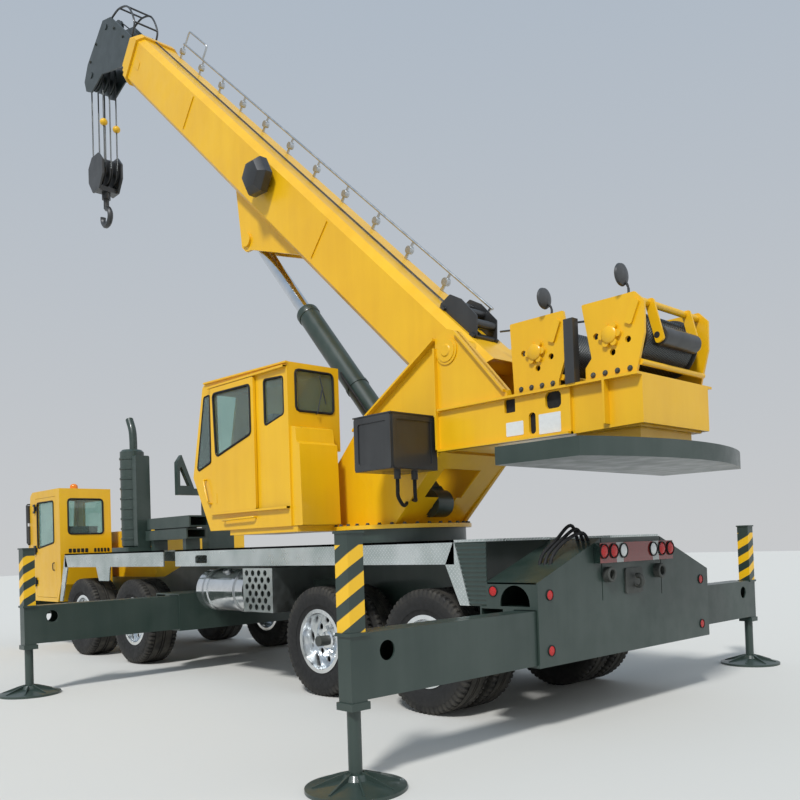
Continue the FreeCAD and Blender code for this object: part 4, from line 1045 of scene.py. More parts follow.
def mirror_parts(foot_x, head_x, head_z):
    """A bent stalk with a shallow round mirror housing that faces back along the drums."""
    y, foot = 0.502, SHELF + 0.622
    stalk = smooth_path([(foot_x, y, foot - 0.02), (foot_x, y, foot + 0.05), (head_x, y + 0.04, head_z)], 8)
    bowl = [(-0.030, 0), (-0.026, 0.050), (-0.012, 0.084), (0.004, 0.090), (0.010, 0.086), (0.010, 0)]
    return [tube(stalk, 0.010, 10), turned(bowl, (head_x, y + 0.04, head_z), (1, 0, 0), 36)]


mirrors = mirror_parts(SLEW_X - 3.150, SLEW_X - 3.120, 3.445) + mirror_parts(SLEW_X - 2.430, SLEW_X - 2.390, 3.433)
add_piece("drum_castings", drum_parts(DRUM_X[0]) + drum_parts(DRUM_X[1]) + roller_and_post() + mirrors,
          black_enamel, "upper", instead_of=["winch_drums"])
add_rope("rope_on_drums", [coil(x, r, 36) for x in DRUM_X for r in (0.200, 0.217)], "upper")

# %% [markdown]
# ## Plates, webs and flanges of the upper frame
#
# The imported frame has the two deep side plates. The real one is stiffened outside: a doubler with three cut-outs
# round the boom's foot, an upright web, flanges along the sloping edges, and a belly plate that closes the front with
# two openings for the lift cylinder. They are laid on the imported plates, and the cut-outs are dark inside.

# %% Upper frame's stiffeners
SIDE_FACE = 0.520
FLANGE_FACE = 0.590
SHELF_LOW = 2.285
WEB_X = -1.131


def slope_flange(start, end, thick=0.024):
    (a0, b0), (a1, b1) = start, end
    return plate(slewed([(a0, b0), (a1, b1), (a1, b1 - thick), (a0, b0 - thick)]), SIDE_FACE, FLANGE_FACE, on_side)


def frame_cutouts():
    return [slewed(card((-2.054, 2.537), (-1.936, 2.655), 0.012)), slewed(card((-2.529, 2.513), (-2.370, 2.652), 0.040)),
            slewed(card((-2.266, 2.327), (-2.195, 2.508), 0.030))]


def belly_plate():
    """The sloping plate from the shelf down to the slewing ring, drawn as (Y, share of the way down)."""
    def on_slope(a, b, depth):
        x = WEB_X + (-0.430 - WEB_X) * b
        z = SHELF_LOW + (1.640 - SHELF_LOW) * b
        return np.stack([x + SLEW_X + depth, a, z], -1)
    opening = [(-0.20, 0.20), (0.33, 0.20), (0.33, 0.60), (0.135, 0.60), (0.135, 0.86), (-0.135, 0.86),
               (-0.135, 0.60), (-0.20, 0.60)]
    return plate([(-0.48, 0), (0.48, 0), (0.48, 1), (-0.48, 1)], 0.0, 0.025, on_slope, [opening])


def upper_frame_stiffeners():
    doubler = slewed([(WEB_X, SHELF_LOW), (WEB_X, 3.347), (-1.278, 3.413), (-1.400, 3.370), (-1.955, 2.745),
                      (-1.975, SHELF), (-2.615, SHELF), (-2.615, SHELF_LOW)])
    side = [plate(doubler, SIDE_FACE, SIDE_FACE + 0.030, on_side, frame_cutouts()),
            block((WEB_X - 0.020, WEB_X), (SIDE_FACE, FLANGE_FACE), (SHELF_LOW, 3.250)),
            slope_flange((0.061, 2.640), (-1.131, 3.350)), slope_flange((-1.400, 3.370), (-1.955, 2.745)),
            block((-2.960, -2.940), (SIDE_FACE, FLANGE_FACE), (2.320, SHELF - 0.02)),
            turned([(0, 0), (0, 0.13), (0.012, 0.13), (0.012, 0.105), (0.020, 0.105), (0.020, 0.06), (0.030, 0.05),
                    (0.030, 0)], (PIVOT[0], SIDE_FACE + 0.030, PIVOT[1]), (0, 1, 0), 48)]
    return [piece for part in side for piece in both_sides(part)] + [belly_plate()]


add_piece("frame_stiffeners", upper_frame_stiffeners(), yellow, "upper")
# black sheets in the cut-outs: painted shade inside the holes
add_piece("frame_shadows", [p for hole in frame_cutouts()
                            for p in both_sides(plate(hole, SIDE_FACE, SIDE_FACE + 0.004, on_side))],
          seal_rubber, "upper")


def ring_bolts():
    v = np.arange(36) * math.tau / 36
    spots = np.stack([SLEW_X + 0.728 * np.cos(v), 0.728 * np.sin(v), np.full(36, 1.640)], -1)
    return hexes(spots, (0, 0, 1), 0.018, 0.022)


add_piece("ring_bolts", ring_bolts(), steel, "upper", 30)
print("upper frame stiffeners made")

# %% [markdown]
# ## Decks, side strips and mudguards
#
# The decks are tread plate on brackets, with a bright strip along each edge. Behind the last wheel a sloped band and
# a ribbed panel make the mudguard, and ahead the strip slopes down to the cab's step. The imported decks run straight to
# the rear face; the real ones stop where the box's sloped shoulder begins, so this piece takes their place.

# %% Decks
STRIP_LOW = DECK_TOP - 0.195
FRAME_HALF = 0.450
SHOULDER_X = -2.300
MUD_TOP, MUD_LEAN, BAND = -1.974, 0.150, 0.100
BOX_TOP = 0.941


def deck_plate(x0, x1, side):
    """One deck's sheet, cut away round the slewing ring by an arc in its inner edge."""
    inner, outer = side * FRAME_HALF, side * CARRIER_HALF
    outline = [(x1, inner), (x1, outer), (x0, outer), (x0, inner)]
    if x0 < 0 < x1:
        reach = math.acos(FRAME_HALF / 0.762)
        v = np.linspace(-reach, reach, 24)
        outline += [(0.762 * math.sin(t), side * 0.762 * math.cos(t)) for t in v]
    return plate(slewed(outline), DECK_TOP - 0.020, DECK_TOP, on_top)


def strip(outline, side, holes=(), thick=0.015):
    return plate(slewed(outline), side * (CARRIER_HALF - thick), side * CARRIER_HALF, on_side,
                 [slewed(hole) for hole in holes])


def deck_parts(side):
    front_end = 5.840 if side > 0 else 4.900
    parts = [deck_plate(SHOULDER_X, 2.540, side), deck_plate(2.830, front_end, side)]
    pocket = card((1.817, STRIP_LOW + 0.035), (2.077, DECK_TOP - 0.070), 0.015)
    rear = [(MUD_TOP, STRIP_LOW), (2.540, STRIP_LOW), (2.540, DECK_TOP), (MUD_TOP, DECK_TOP)]
    parts.append(strip(rear, side, [pocket]))
    parts.append(strip([(2.830, STRIP_LOW), (front_end, STRIP_LOW), (front_end, DECK_TOP), (2.830, DECK_TOP)], side))
    band = [(MUD_TOP + BAND, STRIP_LOW), (MUD_TOP, DECK_TOP), (MUD_TOP - MUD_LEAN, BOX_TOP),
            (MUD_TOP - MUD_LEAN + BAND, BOX_TOP)]
    parts.append(strip(band, side))
    if side > 0:
        fender = [(front_end - BAND, STRIP_LOW), (front_end, DECK_TOP), (6.055, 0.763), (5.955, 0.763)]
        parts.append(strip(fender, side))
    parts.append(strip([(4.321, STRIP_LOW), (4.763, STRIP_LOW), (4.676, STRIP_LOW - 0.190),
                        (4.361, STRIP_LOW - 0.190)], side))
    for x in (-0.900, 0.560, 1.500, 2.300, 3.400, 4.600):
        bracket = [(side * FRAME_HALF, 1.300), (side * FRAME_HALF, 1.440), (side * CARRIER_HALF * 0.988, 1.440),
                   (side * CARRIER_HALF * 0.988, 1.340)]
        parts.append(plate(bracket, x + SLEW_X, x + SLEW_X + 0.012, on_end))
    return parts


def mudguard_ribs(side):
    """The panel beside the last wheel, pressed in 14 low ribs: depth = 5 mm x a smooth comb of the height."""
    rows = 14 * 8 + 1
    z = np.linspace(BOX_TOP, 1.440, rows)[:, None]
    lean = MUD_LEAN * (1.440 - z) / (1.440 - BOX_TOP)
    start = MUD_TOP - lean
    x = start + (SHOULDER_X - start) * np.linspace(0, 1, 4)[None] + SLEW_X
    comb = 0.5 - 0.5 * np.cos((z - BOX_TOP) / (1.440 - BOX_TOP) * 14 * math.tau)
    y = side * (CARRIER_HALF - 0.010 + 0.007 * comb ** 2)
    face = np.stack([x, np.broadcast_to(y, x.shape), np.broadcast_to(z, x.shape)], -1)
    back = face.copy()
    back[..., 1] = side * (CARRIER_HALF - 0.016)
    ring = np.concatenate([face, back[:, ::-1]], 1)
    lids = [np.repeat(ring[[k]].mean(1, keepdims=True), ring.shape[1], 1) for k in (0, -1)]
    points = np.concatenate([lids[0], ring, lids[1]])
    return points.reshape(-1, 3), grid_faces(rows + 2, 8)


add_piece("deck_plates", deck_parts(1) + deck_parts(-1), tread, "carrier", instead_of=["decks"])
add_piece("mudguard_panels", [mudguard_ribs(1), mudguard_ribs(-1)], green_grey, "carrier", 60)
print("decks made")

# %% [markdown]
# ## The rear box's shoulders, arches and towing gear
#
# Over each end of the rear box a plate slopes from the frame's top down to the box's outer edge. Its outer wall has
# a round-topped opening, dark inside. Between the shoulders sit the light bar, two tow sockets and a hooked pintle.

# %% Rear shoulders and towing gear
BOX_REAR = -2.791
SHOULDER_Z = 1.126
ARCH_X, ARCH_RADIUS = -2.576, 0.140


def shoulder_parts():
    inner, outer = 0.460, CARRIER_HALF
    end = [(inner, BOX_TOP), (outer, BOX_TOP), (outer, SHOULDER_Z), (inner, 1.436)]
    parts = [plate(end, x + SLEW_X, x + SLEW_X + 0.012, on_end) for x in (BOX_REAR, SHOULDER_X - 0.012)]
    t = 0.012
    skin = [(outer, SHOULDER_Z), (inner, 1.436), (inner, 1.436 - t), (outer, SHOULDER_Z - t)]
    parts.append(plate(skin, BOX_REAR + SLEW_X + t, SHOULDER_X + SLEW_X - t, on_end))
    v = np.linspace(0, math.pi, 15)
    arch = [(ARCH_X + ARCH_RADIUS, BOX_TOP + 0.006)] + [
        (ARCH_X + ARCH_RADIUS * math.cos(a), SHOULDER_Z - 0.160 + ARCH_RADIUS * math.sin(a)) for a in v]
    arch.append((ARCH_X - ARCH_RADIUS, BOX_TOP + 0.006))
    wall = slewed([(BOX_REAR + t, BOX_TOP), (SHOULDER_X - t, BOX_TOP), (SHOULDER_X - t, SHOULDER_Z),
                   (BOX_REAR + t, SHOULDER_Z)])
    parts.append(plate(wall, outer - t, outer, on_side, [slewed(arch)]))
    return [piece for part in parts for piece in both_sides(part)]


def tow_parts():
    face = REAR_FACE
    socket = [(0, 0.062), (-0.052, 0.062), (-0.058, 0.056), (-0.058, 0.044), (-0.052, 0.038), (0, 0.038), (0, 0.062)]
    parts = [turned(socket, (face, y, 1.145), (1, 0, 0), 28) for y in (-0.385, 0.385)]
    parts.append(plate(card((-0.130, 0.975), (0.130, 1.185), 0.02), face - 0.014, face, on_end))
    v = np.linspace(math.radians(70), math.radians(335), 26)
    hook = np.stack([face - 0.050 + 0.040 * np.cos(v), np.zeros(26), 1.075 + 0.045 * np.sin(v)], -1)
    width = np.linspace(0.024, 0.013, 26)
    parts.append(tube(hook, width, 12, (0, 1, 0)))
    return parts


add_piece("box_shoulders", shoulder_parts(), green_grey, "carrier")
add_piece("tow_gear", tow_parts(), steel, "carrier")

# %% [markdown]
# ## Lights and reflectors
#
# A lamp is a dark dish with a domed glass whose rings are pressed into it. The dome and its rings are one turned
# profile, with a rim round them, so the rings show in the outline too.

# %% Lights and reflectors
def lens_profile(radius, bulge=0.35, rings=4):
    """(along, radius) = (bulge r (1 - t^2) + a small wave, r t), t from the centre to the rim."""
    t = np.linspace(0.0, 1.0, rings * 6 + 1)
    along = bulge * radius * (1 - t ** 2) + 0.012 * radius * np.cos(t * rings * math.tau) + 0.004
    return [(0.0, 0.0)] + [(0.0, radius * 1.0)] + list(zip(along[::-1], radius * t[::-1]))


def rim_profile(radius):
    return [(0, radius), (0, radius * 1.16), (radius * 0.22, radius * 1.16), (radius * 0.26, radius * 1.08),
            (radius * 0.22, radius), (0, radius)]


BAR_FACE = -4.889
RED_LIGHTS = (-0.510, -0.370, 0.370, 0.510)
WHITE_LIGHTS = (-0.230, 0.230)


def rear_lights(places, radius=0.052):
    return [turned(lens_profile(radius), (BAR_FACE, y, 1.333), (-1, 0, 0), 32) for y in places]


def reflector_spots():
    spots = [((REAR_FACE, side * 1.150, z), (-1, 0, 0)) for side in (1, -1) for z in (0.620, 1.030)]
    spots += [((SLEW_X + x, side * CARRIER_HALF, 1.060), (0, side, 0)) for side in (1, -1) for x in (-2.370,)]
    return spots


add_piece("red_lights", rear_lights(RED_LIGHTS) + [turned(lens_profile(0.036, 0.15, 3), spot, axis, 28)
                                                   for spot, axis in reflector_spots()], red_plate, "carrier", 50)
add_piece("white_lights", rear_lights(WHITE_LIGHTS), white_plate, "carrier", 50)
add_piece("light_rims", [turned(rim_profile(0.052), (BAR_FACE, y, 1.333), (-1, 0, 0), 32)
                         for y in RED_LIGHTS + WHITE_LIGHTS]
          + [turned(rim_profile(0.036), spot, axis, 28) for spot, axis in reflector_spots()],
          seal_rubber, "carrier", 50)

# %% [markdown]
# ## Outrigger columns and floats
#
# Each column has a cap plate with its lip, a ledge where the beam meets it and a collar at its foot. The floats are
# ribbed dishes: the ribs are thin triangles between the rod's boss and the rim.

# %% Column and float details
COLUMN_HALF = 0.060


def column_parts(x, side):
    cap = [(x - 0.068, side * 2.922), (x + 0.068, side * 2.922), (x + 0.068, side * 3.058), (x - 0.068, side * 3.058)]
    parts = [plate(cap, 1.513, 1.5275, on_top)]
    low = [(x - 0.072, side * 2.918), (x + 0.072, side * 2.918), (x + 0.072, side * 3.062), (x - 0.072, side * 3.062)]
    hole = [(x - 0.0595, side * 2.9305), (x + 0.0595, side * 2.9305), (x + 0.0595, side * 3.0495),
            (x - 0.0595, side * 3.0495)]
    parts.append(plate(low, 0.4705, 0.515, on_top, [hole]))
    parts.append(plate(low, 0.905, 0.925, on_top, [hole]))
    return parts


def float_ribs(x, side, count=8):
    """Thin upright triangles spread evenly round the jack's foot."""
    parts = []
    for k in range(count):
        v = k * math.tau / count + 0.26
        def radial(a, b, depth, c=math.cos(v), s=math.sin(v)):
            return np.stack([x + a * c - depth * s, side * 2.990 + a * s + depth * c, b], -1)
        rib = [(0.050, 0.050), (0.265, 0.022), (0.265, 0.036), (0.110, 0.088), (0.048, 0.104)]
        parts.append(plate(rib, -0.006, 0.006, radial))
    return parts


for corner, (column_x, column_side) in COLUMNS.items():
    add_piece("column_trim_" + corner, column_parts(column_x, column_side), green_grey, "outrigger_" + corner)
    add_piece("float_ribs_" + corner, float_ribs(column_x, column_side), green_grey, "leg_" + corner)
print("columns and floats dressed")

# %% [markdown]
# ## Step box, silencer, boom rest and stowed beams
#
# The step box is folded sheet whose outer face is punched with staggered rows of holes for grip. The silencer is a
# round can with rolled bands, an outlet pipe bent forward, and a flat shield beside it. The boom rest is a saddle
# with an open triangle at each end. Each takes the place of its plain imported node.

# %% Fittings on and under the left deck
def step_box_parts():
    x0, x1, z0, z1 = 0.560, 1.100, 0.785, 1.240
    outer, inner = CARRIER_HALF - 0.005, 0.755
    holes = []
    for row in range(6):
        for column in range(4):
            holes.append(slewed(round_hole(x0 + 0.015 + 0.1133 * (column + 0.5 + 0.5 * (row % 2)),
                                           z0 + 0.015 + 0.0708 * (row + 0.5), 0.031)))
    face = slewed([(x0, z0), (x1, z0), (x1, z1), (x0, z1)])
    parts = [plate(face, outer - 0.012, outer, on_side, holes)]
    parts += [block((x0, x1), (inner, outer - 0.012), z) for z in ((z0, z0 + 0.015), (z1 - 0.015, z1))]
    parts += [block(x, (inner, outer - 0.012), (z0 + 0.015, z1 - 0.015)) for x in ((x0, x0 + 0.015), (x1 - 0.015, x1))]
    parts.append(block((x0 + 0.015, x1 - 0.015), (FRAME_HALF, inner), (1.100, z1)))
    return parts


def silencer_parts():
    x, y, radius, low, top = SLEW_X + 4.400, 0.900, 0.160, DECK_TOP + 0.060, 2.860
    profile = [(low, 0), (low, radius - 0.02), (low + 0.02, radius)]
    for z in np.linspace(low + 0.10, top - 0.14, 9):
        profile += [(z, radius), (z + 0.004, radius + 0.010), (z + 0.030, radius + 0.010), (z + 0.034, radius)]
    profile += [(top - 0.03, radius), (top, radius - 0.03), (top, 0.05), (top, 0)]
    parts = [turned(profile, (x, y, 0), (0, 0, 1), 56)]
    parts.append(plate(card((x - 0.300, 0.600), (x + 0.180, 1.150), 0.03), DECK_TOP, low, on_top))
    pipe = smooth_path([(x - 0.05, y, top - 0.03), (x - 0.05, y, top + 0.12), (x - 0.03, y, top + 0.27),
                        (x + 0.05, y, top + 0.43)], 8)
    parts.append(tube(pipe, 0.052, 24))
    parts.append(plate(rounded([(y - 0.110, low), (y + 0.090, low), (y + 0.090, top - 0.10), (y - 0.110, top - 0.10)],
                               0.02), x - 0.290, x - 0.180, on_end))
    return parts


def rest_parts():
    x0 = SLEW_X + 3.660
    parts = [plate([(-0.62, 2.200), (0.62, 2.200), (0.62, 2.290), (-0.62, 2.290)], x0, x0 + 0.08, on_end)]
    parts.append(plate(card((-0.20, 1.300), (0.20, 2.200), 0.01), x0 - 0.05, x0 + 0.13, on_end))
    for side in (1, -1):
        horn = [(0.372, 2.290), (0.620, 2.290), (0.620, 2.640), (0.550, 2.740)]
        window = [(0.440, 2.325), (0.580, 2.325), (0.580, 2.560), (0.555, 2.580)]
        horn, window = ([(side * a, b) for a, b in loop] for loop in (horn, window))
        parts.append(plate(horn, x0, x0 + 0.08, on_end, [window]))
    return parts


def stowed_parts():
    parts = []
    for x, z in (((2.960, 4.060), (1.600, 1.730)), ((2.880, 4.000), (1.745, 1.890))):
        outline = [(0.620, z[0]), (0.900, z[0]), (0.900, z[1]), (0.620, z[1])]
        hollow = [(0.640, z[0] + 0.02), (0.880, z[0] + 0.02), (0.880, z[1] - 0.02), (0.640, z[1] - 0.02)]
        parts.append(plate(outline, x[0] + SLEW_X, x[1] + SLEW_X, on_end, [hollow]))
    parts += [block((x, x + 0.08), (0.660, 0.860), (DECK_TOP, 1.600)) for x in (3.050, 3.900)]
    parts.append(block((3.050, 3.950), (0.700, 0.820), (1.730, 1.745)))
    return parts


add_piece("punched_step_box", step_box_parts(), punched, "carrier", instead_of=["step_box"])
add_piece("ribbed_silencer", silencer_parts(), green_grey, "carrier", 35, instead_of=["exhaust_stack"])
add_piece("boom_rest", rest_parts() + stowed_parts(), green_grey, "carrier", instead_of=["deck_stowage"])


def hood_parts():
    """The low engine cover: a chamfered skin, open below, with rows of slots along its side."""
    x0, x1, y0, y1, low, top, t = 4.950, 7.390, -1.230, 0.300, 1.080, 1.790, 0.020
    skin = [(y0, low), (y0, top - 0.090), (y0 + 0.120, top), (y1, top), (y1, low), (y1 - t, low), (y1 - t, top - t),
            (y0 + 0.128, top - t), (y0 + t, top - 0.098), (y0 + t, low)]
    parts = [plate(skin, x0 + SLEW_X, x1 + SLEW_X, on_end)]
    end = [(y0 + t, low), (y1 - t, low), (y1 - t, top - t), (y0 + 0.128, top - t), (y0 + t, top - 0.098)]
    parts += [plate(end, x + SLEW_X, x + SLEW_X + t, on_end) for x in (x0, x1 - t)]
    for k in range(9):
        for z in (1.330, 1.400):
            x = x0 + 0.300 + 0.170 * k
            parts.append(block((x, x + 0.110), (y0 - 0.008, y0), (z, z + 0.030)))
    return parts


add_piece("engine_cover", hood_parts(), yellow, "carrier", instead_of=["engine_hood", "engine"])
print("deck fittings made")

# %% [markdown]
# ## Cab doors, panes and window seals
#
# Panes sit in black rubber seals with a rounded section. Each seal is a tube swept round the window's own outline,
# with the window's rounded corners, so that it closes the gap between pane and sheet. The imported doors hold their
# panes in one node, so each door is made again as a sheet with an opening and a pane of its own.

# %% Doors and windows
CAB_SIDE = 1.205
DOOR_FACE = 1.241
DRIVER_SIDE = 1.250
OPERATOR_DOOR_WINDOW = [(0.940, 2.660), (1.640, 2.480), (1.680, 3.190), (0.940, 3.180)]
OPERATOR_QUARTER = [(0.390, 2.800), (0.735, 2.715), (0.735, 3.200), (0.390, 3.180)]
OPERATOR_REAR_WINDOW = [(0.620, 2.830), (1.105, 2.830), (1.105, 3.250), (0.620, 3.250)]
DRIVER_DOOR_WINDOW = [(6.330, 1.640), (6.990, 1.560), (6.990, 2.270), (6.330, 2.270)]
DRIVER_REAR_WINDOW = [(0.580, 1.760), (1.120, 1.760), (1.120, 2.290), (0.580, 2.290)]


def seal_on_side(window, y, radius=0.013, corner=0.045):
    loop = rounded(slewed(window), corner, 6)
    return loop_tube(np.stack([loop[:, 0], np.full(len(loop), y), loop[:, 1]], -1), radius, 8, (0, 1, 0))


def seal_on_end(window, x, radius=0.013, corner=0.050):
    loop = rounded(window, corner, 6)
    return loop_tube(np.stack([np.full(len(loop), x), loop[:, 0], loop[:, 1]], -1), radius, 8, (1, 0, 0))


def door_sheet(corners, window, y0, y1, corner):
    return plate(rounded(slewed(corners), 0.015, 3), y0, y1, on_side, [rounded(slewed(window), corner, 6)])


def pane(window, y, corner):
    return plate(rounded(slewed(window), corner, 6), y, y + 0.008, on_side)


operator_door = [(0.880, 1.861), (1.740, 1.861), (1.740, 3.258), (0.880, 3.258)]
door_parts = [door_sheet(operator_door, OPERATOR_DOOR_WINDOW, 1.2115, DOOR_FACE, 0.045),
              plate(slewed(card((1.645, 1.960), (1.690, 2.080), 0.012)), DOOR_FACE, DOOR_FACE + 0.003, on_side)]
add_piece("operator_door_sheet", door_parts, yellow, "upper_door", instead_of=["operator_door"])
add_piece("operator_door_pane", [pane(OPERATOR_DOOR_WINDOW, 1.220, 0.045)], glass, "upper_door")
add_piece("operator_door_seal", [seal_on_side(OPERATOR_DOOR_WINDOW, DOOR_FACE)], seal_rubber, "upper_door", 60)
add_piece("operator_seals", [seal_on_side(OPERATOR_QUARTER, CAB_SIDE - 0.008, corner=0.035),
                             seal_on_end(OPERATOR_REAR_WINDOW, SLEW_X + 0.314)], seal_rubber, "upper", 60)
driver_door = [(6.265, 0.805), (7.055, 0.805), (7.055, 2.335), (6.265, 2.335)]
door_parts = [door_sheet(driver_door, DRIVER_DOOR_WINDOW, 1.210, DRIVER_SIDE, 0.050)]
for level in (1.000, 1.500, 2.150):
    door_parts.append(round_bar((SLEW_X + 7.057, 1.266, level), (SLEW_X + 7.057, 1.266, level + 0.070), 0.014, 20))
    door_parts.append(block((7.000, 7.050), (DRIVER_SIDE, 1.256), (level, level + 0.070)))
grip = smooth_path([(SLEW_X + 6.330, 1.249, 1.330), (SLEW_X + 6.330, 1.276, 1.320), (SLEW_X + 6.330, 1.276, 1.230),
                    (SLEW_X + 6.330, 1.249, 1.220)], 6)
door_parts.append(tube(grip, 0.008, 10, (1, 0, 0)))
add_piece("driver_door_sheet", door_parts, driver_cab_finish, "carrier_door", instead_of=["driver_door"])
add_piece("driver_door_pane", [pane(DRIVER_DOOR_WINDOW, 1.222, 0.050)], glass, "carrier_door")
add_piece("driver_door_seal", [seal_on_side(DRIVER_DOOR_WINDOW, DRIVER_SIDE)], seal_rubber, "carrier_door", 60)
add_piece("driver_rear_seal", [seal_on_end(DRIVER_REAR_WINDOW, SLEW_X + 6.100)], seal_rubber, "carrier", 60)
print("doors, panes and seals made")

# %% [markdown]
# ## Cab fittings
#
# The operator's cab has door rails, a step sill and a grab handle of bent tube, a heater box behind, and a rain
# gutter along the roof. The driver's cab has two mirrors on a bent arm, rows of vents under its rear window, and two
# beacons on the roof.

# %% Rails, handles, heater, mirrors and beacons
def bent(points, radius, steps=6, sides=10):
    return tube(smooth_path(points, steps), radius, sides)


def operator_fittings():
    x, y = SLEW_X, CAB_SIDE
    parts = [block((0.330, 1.800), (y, y + 0.044), z) for z in ((1.838, 1.860), (3.262, 3.284))]
    parts.append(tube([(x + 0.932, y, 1.778), (x + 0.934, y + 0.040, 1.778), (x + 0.950, y + 0.050, 1.778),
                       (x + 1.522, y + 0.050, 1.768), (x + 1.538, y + 0.040, 1.767), (x + 1.540, y, 1.767)],
                      0.012, 10))
    parts.append(tube([(x + 1.924, y, 2.248), (x + 1.924, y + 0.036, 2.240), (x + 1.918, y + 0.045, 2.222),
                       (x + 1.836, y + 0.045, 1.993), (x + 1.830, y + 0.036, 1.975), (x + 1.830, y, 1.967)],
                      0.012, 10))
    heater = [(0.313, 1.662), (0.313, 2.671), (0.235, 2.650), (0.215, 2.500), (0.170, 2.480), (0.150, 1.662)]
    parts.append(plate(rounded(slewed(heater), 0.012, 3), 0.700, 1.185, on_side))
    roof = [(0.300, 3.320), (1.895, 3.352), (1.905, 3.334), (0.300, 3.302)]
    parts += [plate(slewed(roof), CAB_SIDE - 0.002, CAB_SIDE + 0.026, on_side)]
    return parts


def mirror_heads():
    x, y = SLEW_X + 7.330, DRIVER_SIDE
    parts = [tube([(x, y - 0.02, 2.270), (x, y + 0.025, 2.270), (x, y + 0.040, 2.250), (x, y + 0.040, 1.650),
                   (x, y + 0.025, 1.630), (x, y - 0.02, 1.630)], 0.011, 10)]
    for z in (1.780, 2.110):
        head = rounded([(x - 0.035, y - 0.060), (x + 0.025, y - 0.060), (x + 0.025, y + 0.042),
                        (x - 0.035, y + 0.042)], 0.020, 5)
        parts.append(plate(head, z - 0.140, z + 0.140, on_top))
    return parts


def vents():
    parts = []
    for y0, y1 in ((0.818, 1.132), (0.480, 0.740)):
        pitch = (y1 - y0) / 5
        for level in (1.400, 1.478):
            for k in range(5):
                slot = card((y0 + pitch * k + 0.008, level), (y0 + pitch * (k + 1) - 0.008, level + 0.060), 0.010)
                parts.append(plate(slot, SLEW_X + 6.097, SLEW_X + 6.101, on_end))
    return parts


def beacon(x, y, radius, height):
    dome = [(0, 0), (0, radius)] + [(height * (0.55 + 0.45 * math.sin(t)), radius * 0.96 * math.cos(t))
                                    for t in np.linspace(0, math.pi / 2, 9)]
    return turned(dome, (SLEW_X + x, y, 2.450), (0, 0, 1), 32)


add_piece("operator_cab_fittings", operator_fittings(), yellow, "upper")
add_piece("driver_mirrors", mirror_heads(), black_enamel, "carrier")
add_piece("driver_cab_vents", vents(), seal_rubber, "carrier")
add_piece("cab_beacons", [beacon(6.400, 0.900, 0.060, 0.095), beacon(6.880, 0.760, 0.090, 0.060)], amber_plastic,
          "carrier", 50)
print("cab fittings made")

# %% [markdown]
# ## The boom's rail, work lamp, ribs and head frames
#
# Along the boom's left top edge a rail on twelve posts carries round guides, with a taller hoop near the front. A
# six-sided floodlight hangs on the left side. Over the top sheave two bent tubes keep the hoist rope in its groove.

# %% Boom fittings
BOOM_SIDE = 0.330
BOOM_ROOF = 0.140
RAIL_LINE, RAIL_HEIGHT = -0.200, 0.345
RAIL_ENDS = (0.400, 8.300)
LAMP_AT = (4.110, -0.100)


def boom_route(points):
    return on_boom(*np.asarray(points, float).T)


def rail_parts():
    y, up = RAIL_LINE, RAIL_HEIGHT
    parts = [tube(boom_route([(s, y, up) for s in np.linspace(*RAIL_ENDS, 30)]), 0.014, 10)]
    for out in np.linspace(RAIL_ENDS[0] + 0.030, RAIL_ENDS[1] - 0.030, 12):
        post = [(out - 0.020, BOOM_ROOF - 0.004), (out + 0.020, BOOM_ROOF - 0.004), (out + 0.012, up), (out - 0.012, up)]
        parts.append(plate(post, y - 0.008, y + 0.008, along_boom))
        disc = round_hole(out, (BOOM_ROOF + up) / 2, 0.042, 24)
        parts.append(plate(disc, y - 0.030, y + 0.030, along_boom))
    hoop = [(7.600, y, up), (7.600, y, 0.500), (7.615, y, 0.535), (7.650, y, 0.540), (8.200, y, 0.540),
            (8.235, y, 0.535), (8.250, y, 0.500), (8.250, y, up)]
    parts.append(tube(boom_route(hoop), 0.014, 10, (0, 1, 0)))
    return parts


def lamp_parts():
    """A hexagonal housing that narrows to its back plate."""
    out, up = LAMP_AT
    v = np.radians(np.arange(20, 380, 60))
    sizes = ((0.025, 0.0), (0.025, 0.150), (0.060, 0.165), (0.064, 0.222), (0.080, 0.235), (0.168, 0.235),
             (0.190, 0.222), (0.246, 0.165), (0.250, 0.150), (0.250, 0.0))
    rings = [on_boom(out + r * np.cos(v), BOOM_SIDE + depth, up + r * np.sin(v)) for depth, r in sizes]
    body = (np.concatenate(rings), grid_faces(len(sizes), 6))
    bracket = plate(card((out - 0.060, up - 0.080), (out + 0.060, up + 0.080), 0.015), BOOM_SIDE, BOOM_SIDE + 0.030,
                    along_boom)
    return [body, bracket]


def head_frame_parts():
    edge = 0.192
    route = [(9.210, 0.020), (9.270, 0.220), (9.620, 0.330), (9.930, 0.220), (10.090, 0.060), (10.120, 0.010)]
    parts = []
    for y in (-edge, edge):
        curve = smooth_path([(s, y, n) for s, n in route], 5)
        parts.append(tube(on_boom(curve[:, 0], curve[:, 1], curve[:, 2]), 0.015, 12, (0, 1, 0)))
    parts += [tube(boom_route([(s, -edge, n), (s, edge, n)]), 0.014, 12) for s, n in route[1:4]]
    return parts


def boom_ribs():
    parts = []
    for out in (2.700, 6.480):
        rib = [(out - 0.010, -0.400), (out + 0.010, -0.400), (out + 0.010, 0.040), (out - 0.010, 0.040)]
        parts += both_sides(plate(rib, BOOM_SIDE, BOOM_SIDE + 0.014, along_boom))
    for out, up in ((-0.100, -0.100), (8.450, -0.200)):
        parts += both_sides(plate(card((out - 0.09, up - 0.06), (out + 0.09, up + 0.06), 0.02), BOOM_SIDE,
                                  BOOM_SIDE + 0.006, along_boom))
    return parts


add_piece("boom_rail", rail_parts(), galvanised, "boom_base")
add_piece("boom_lamp", lamp_parts(), black_enamel, "boom_base", 25)
add_piece("boom_side_ribs", boom_ribs(), yellow, "boom_base")
add_piece("head_rope_frames", head_frame_parts(), black_enamel, "boom_head")


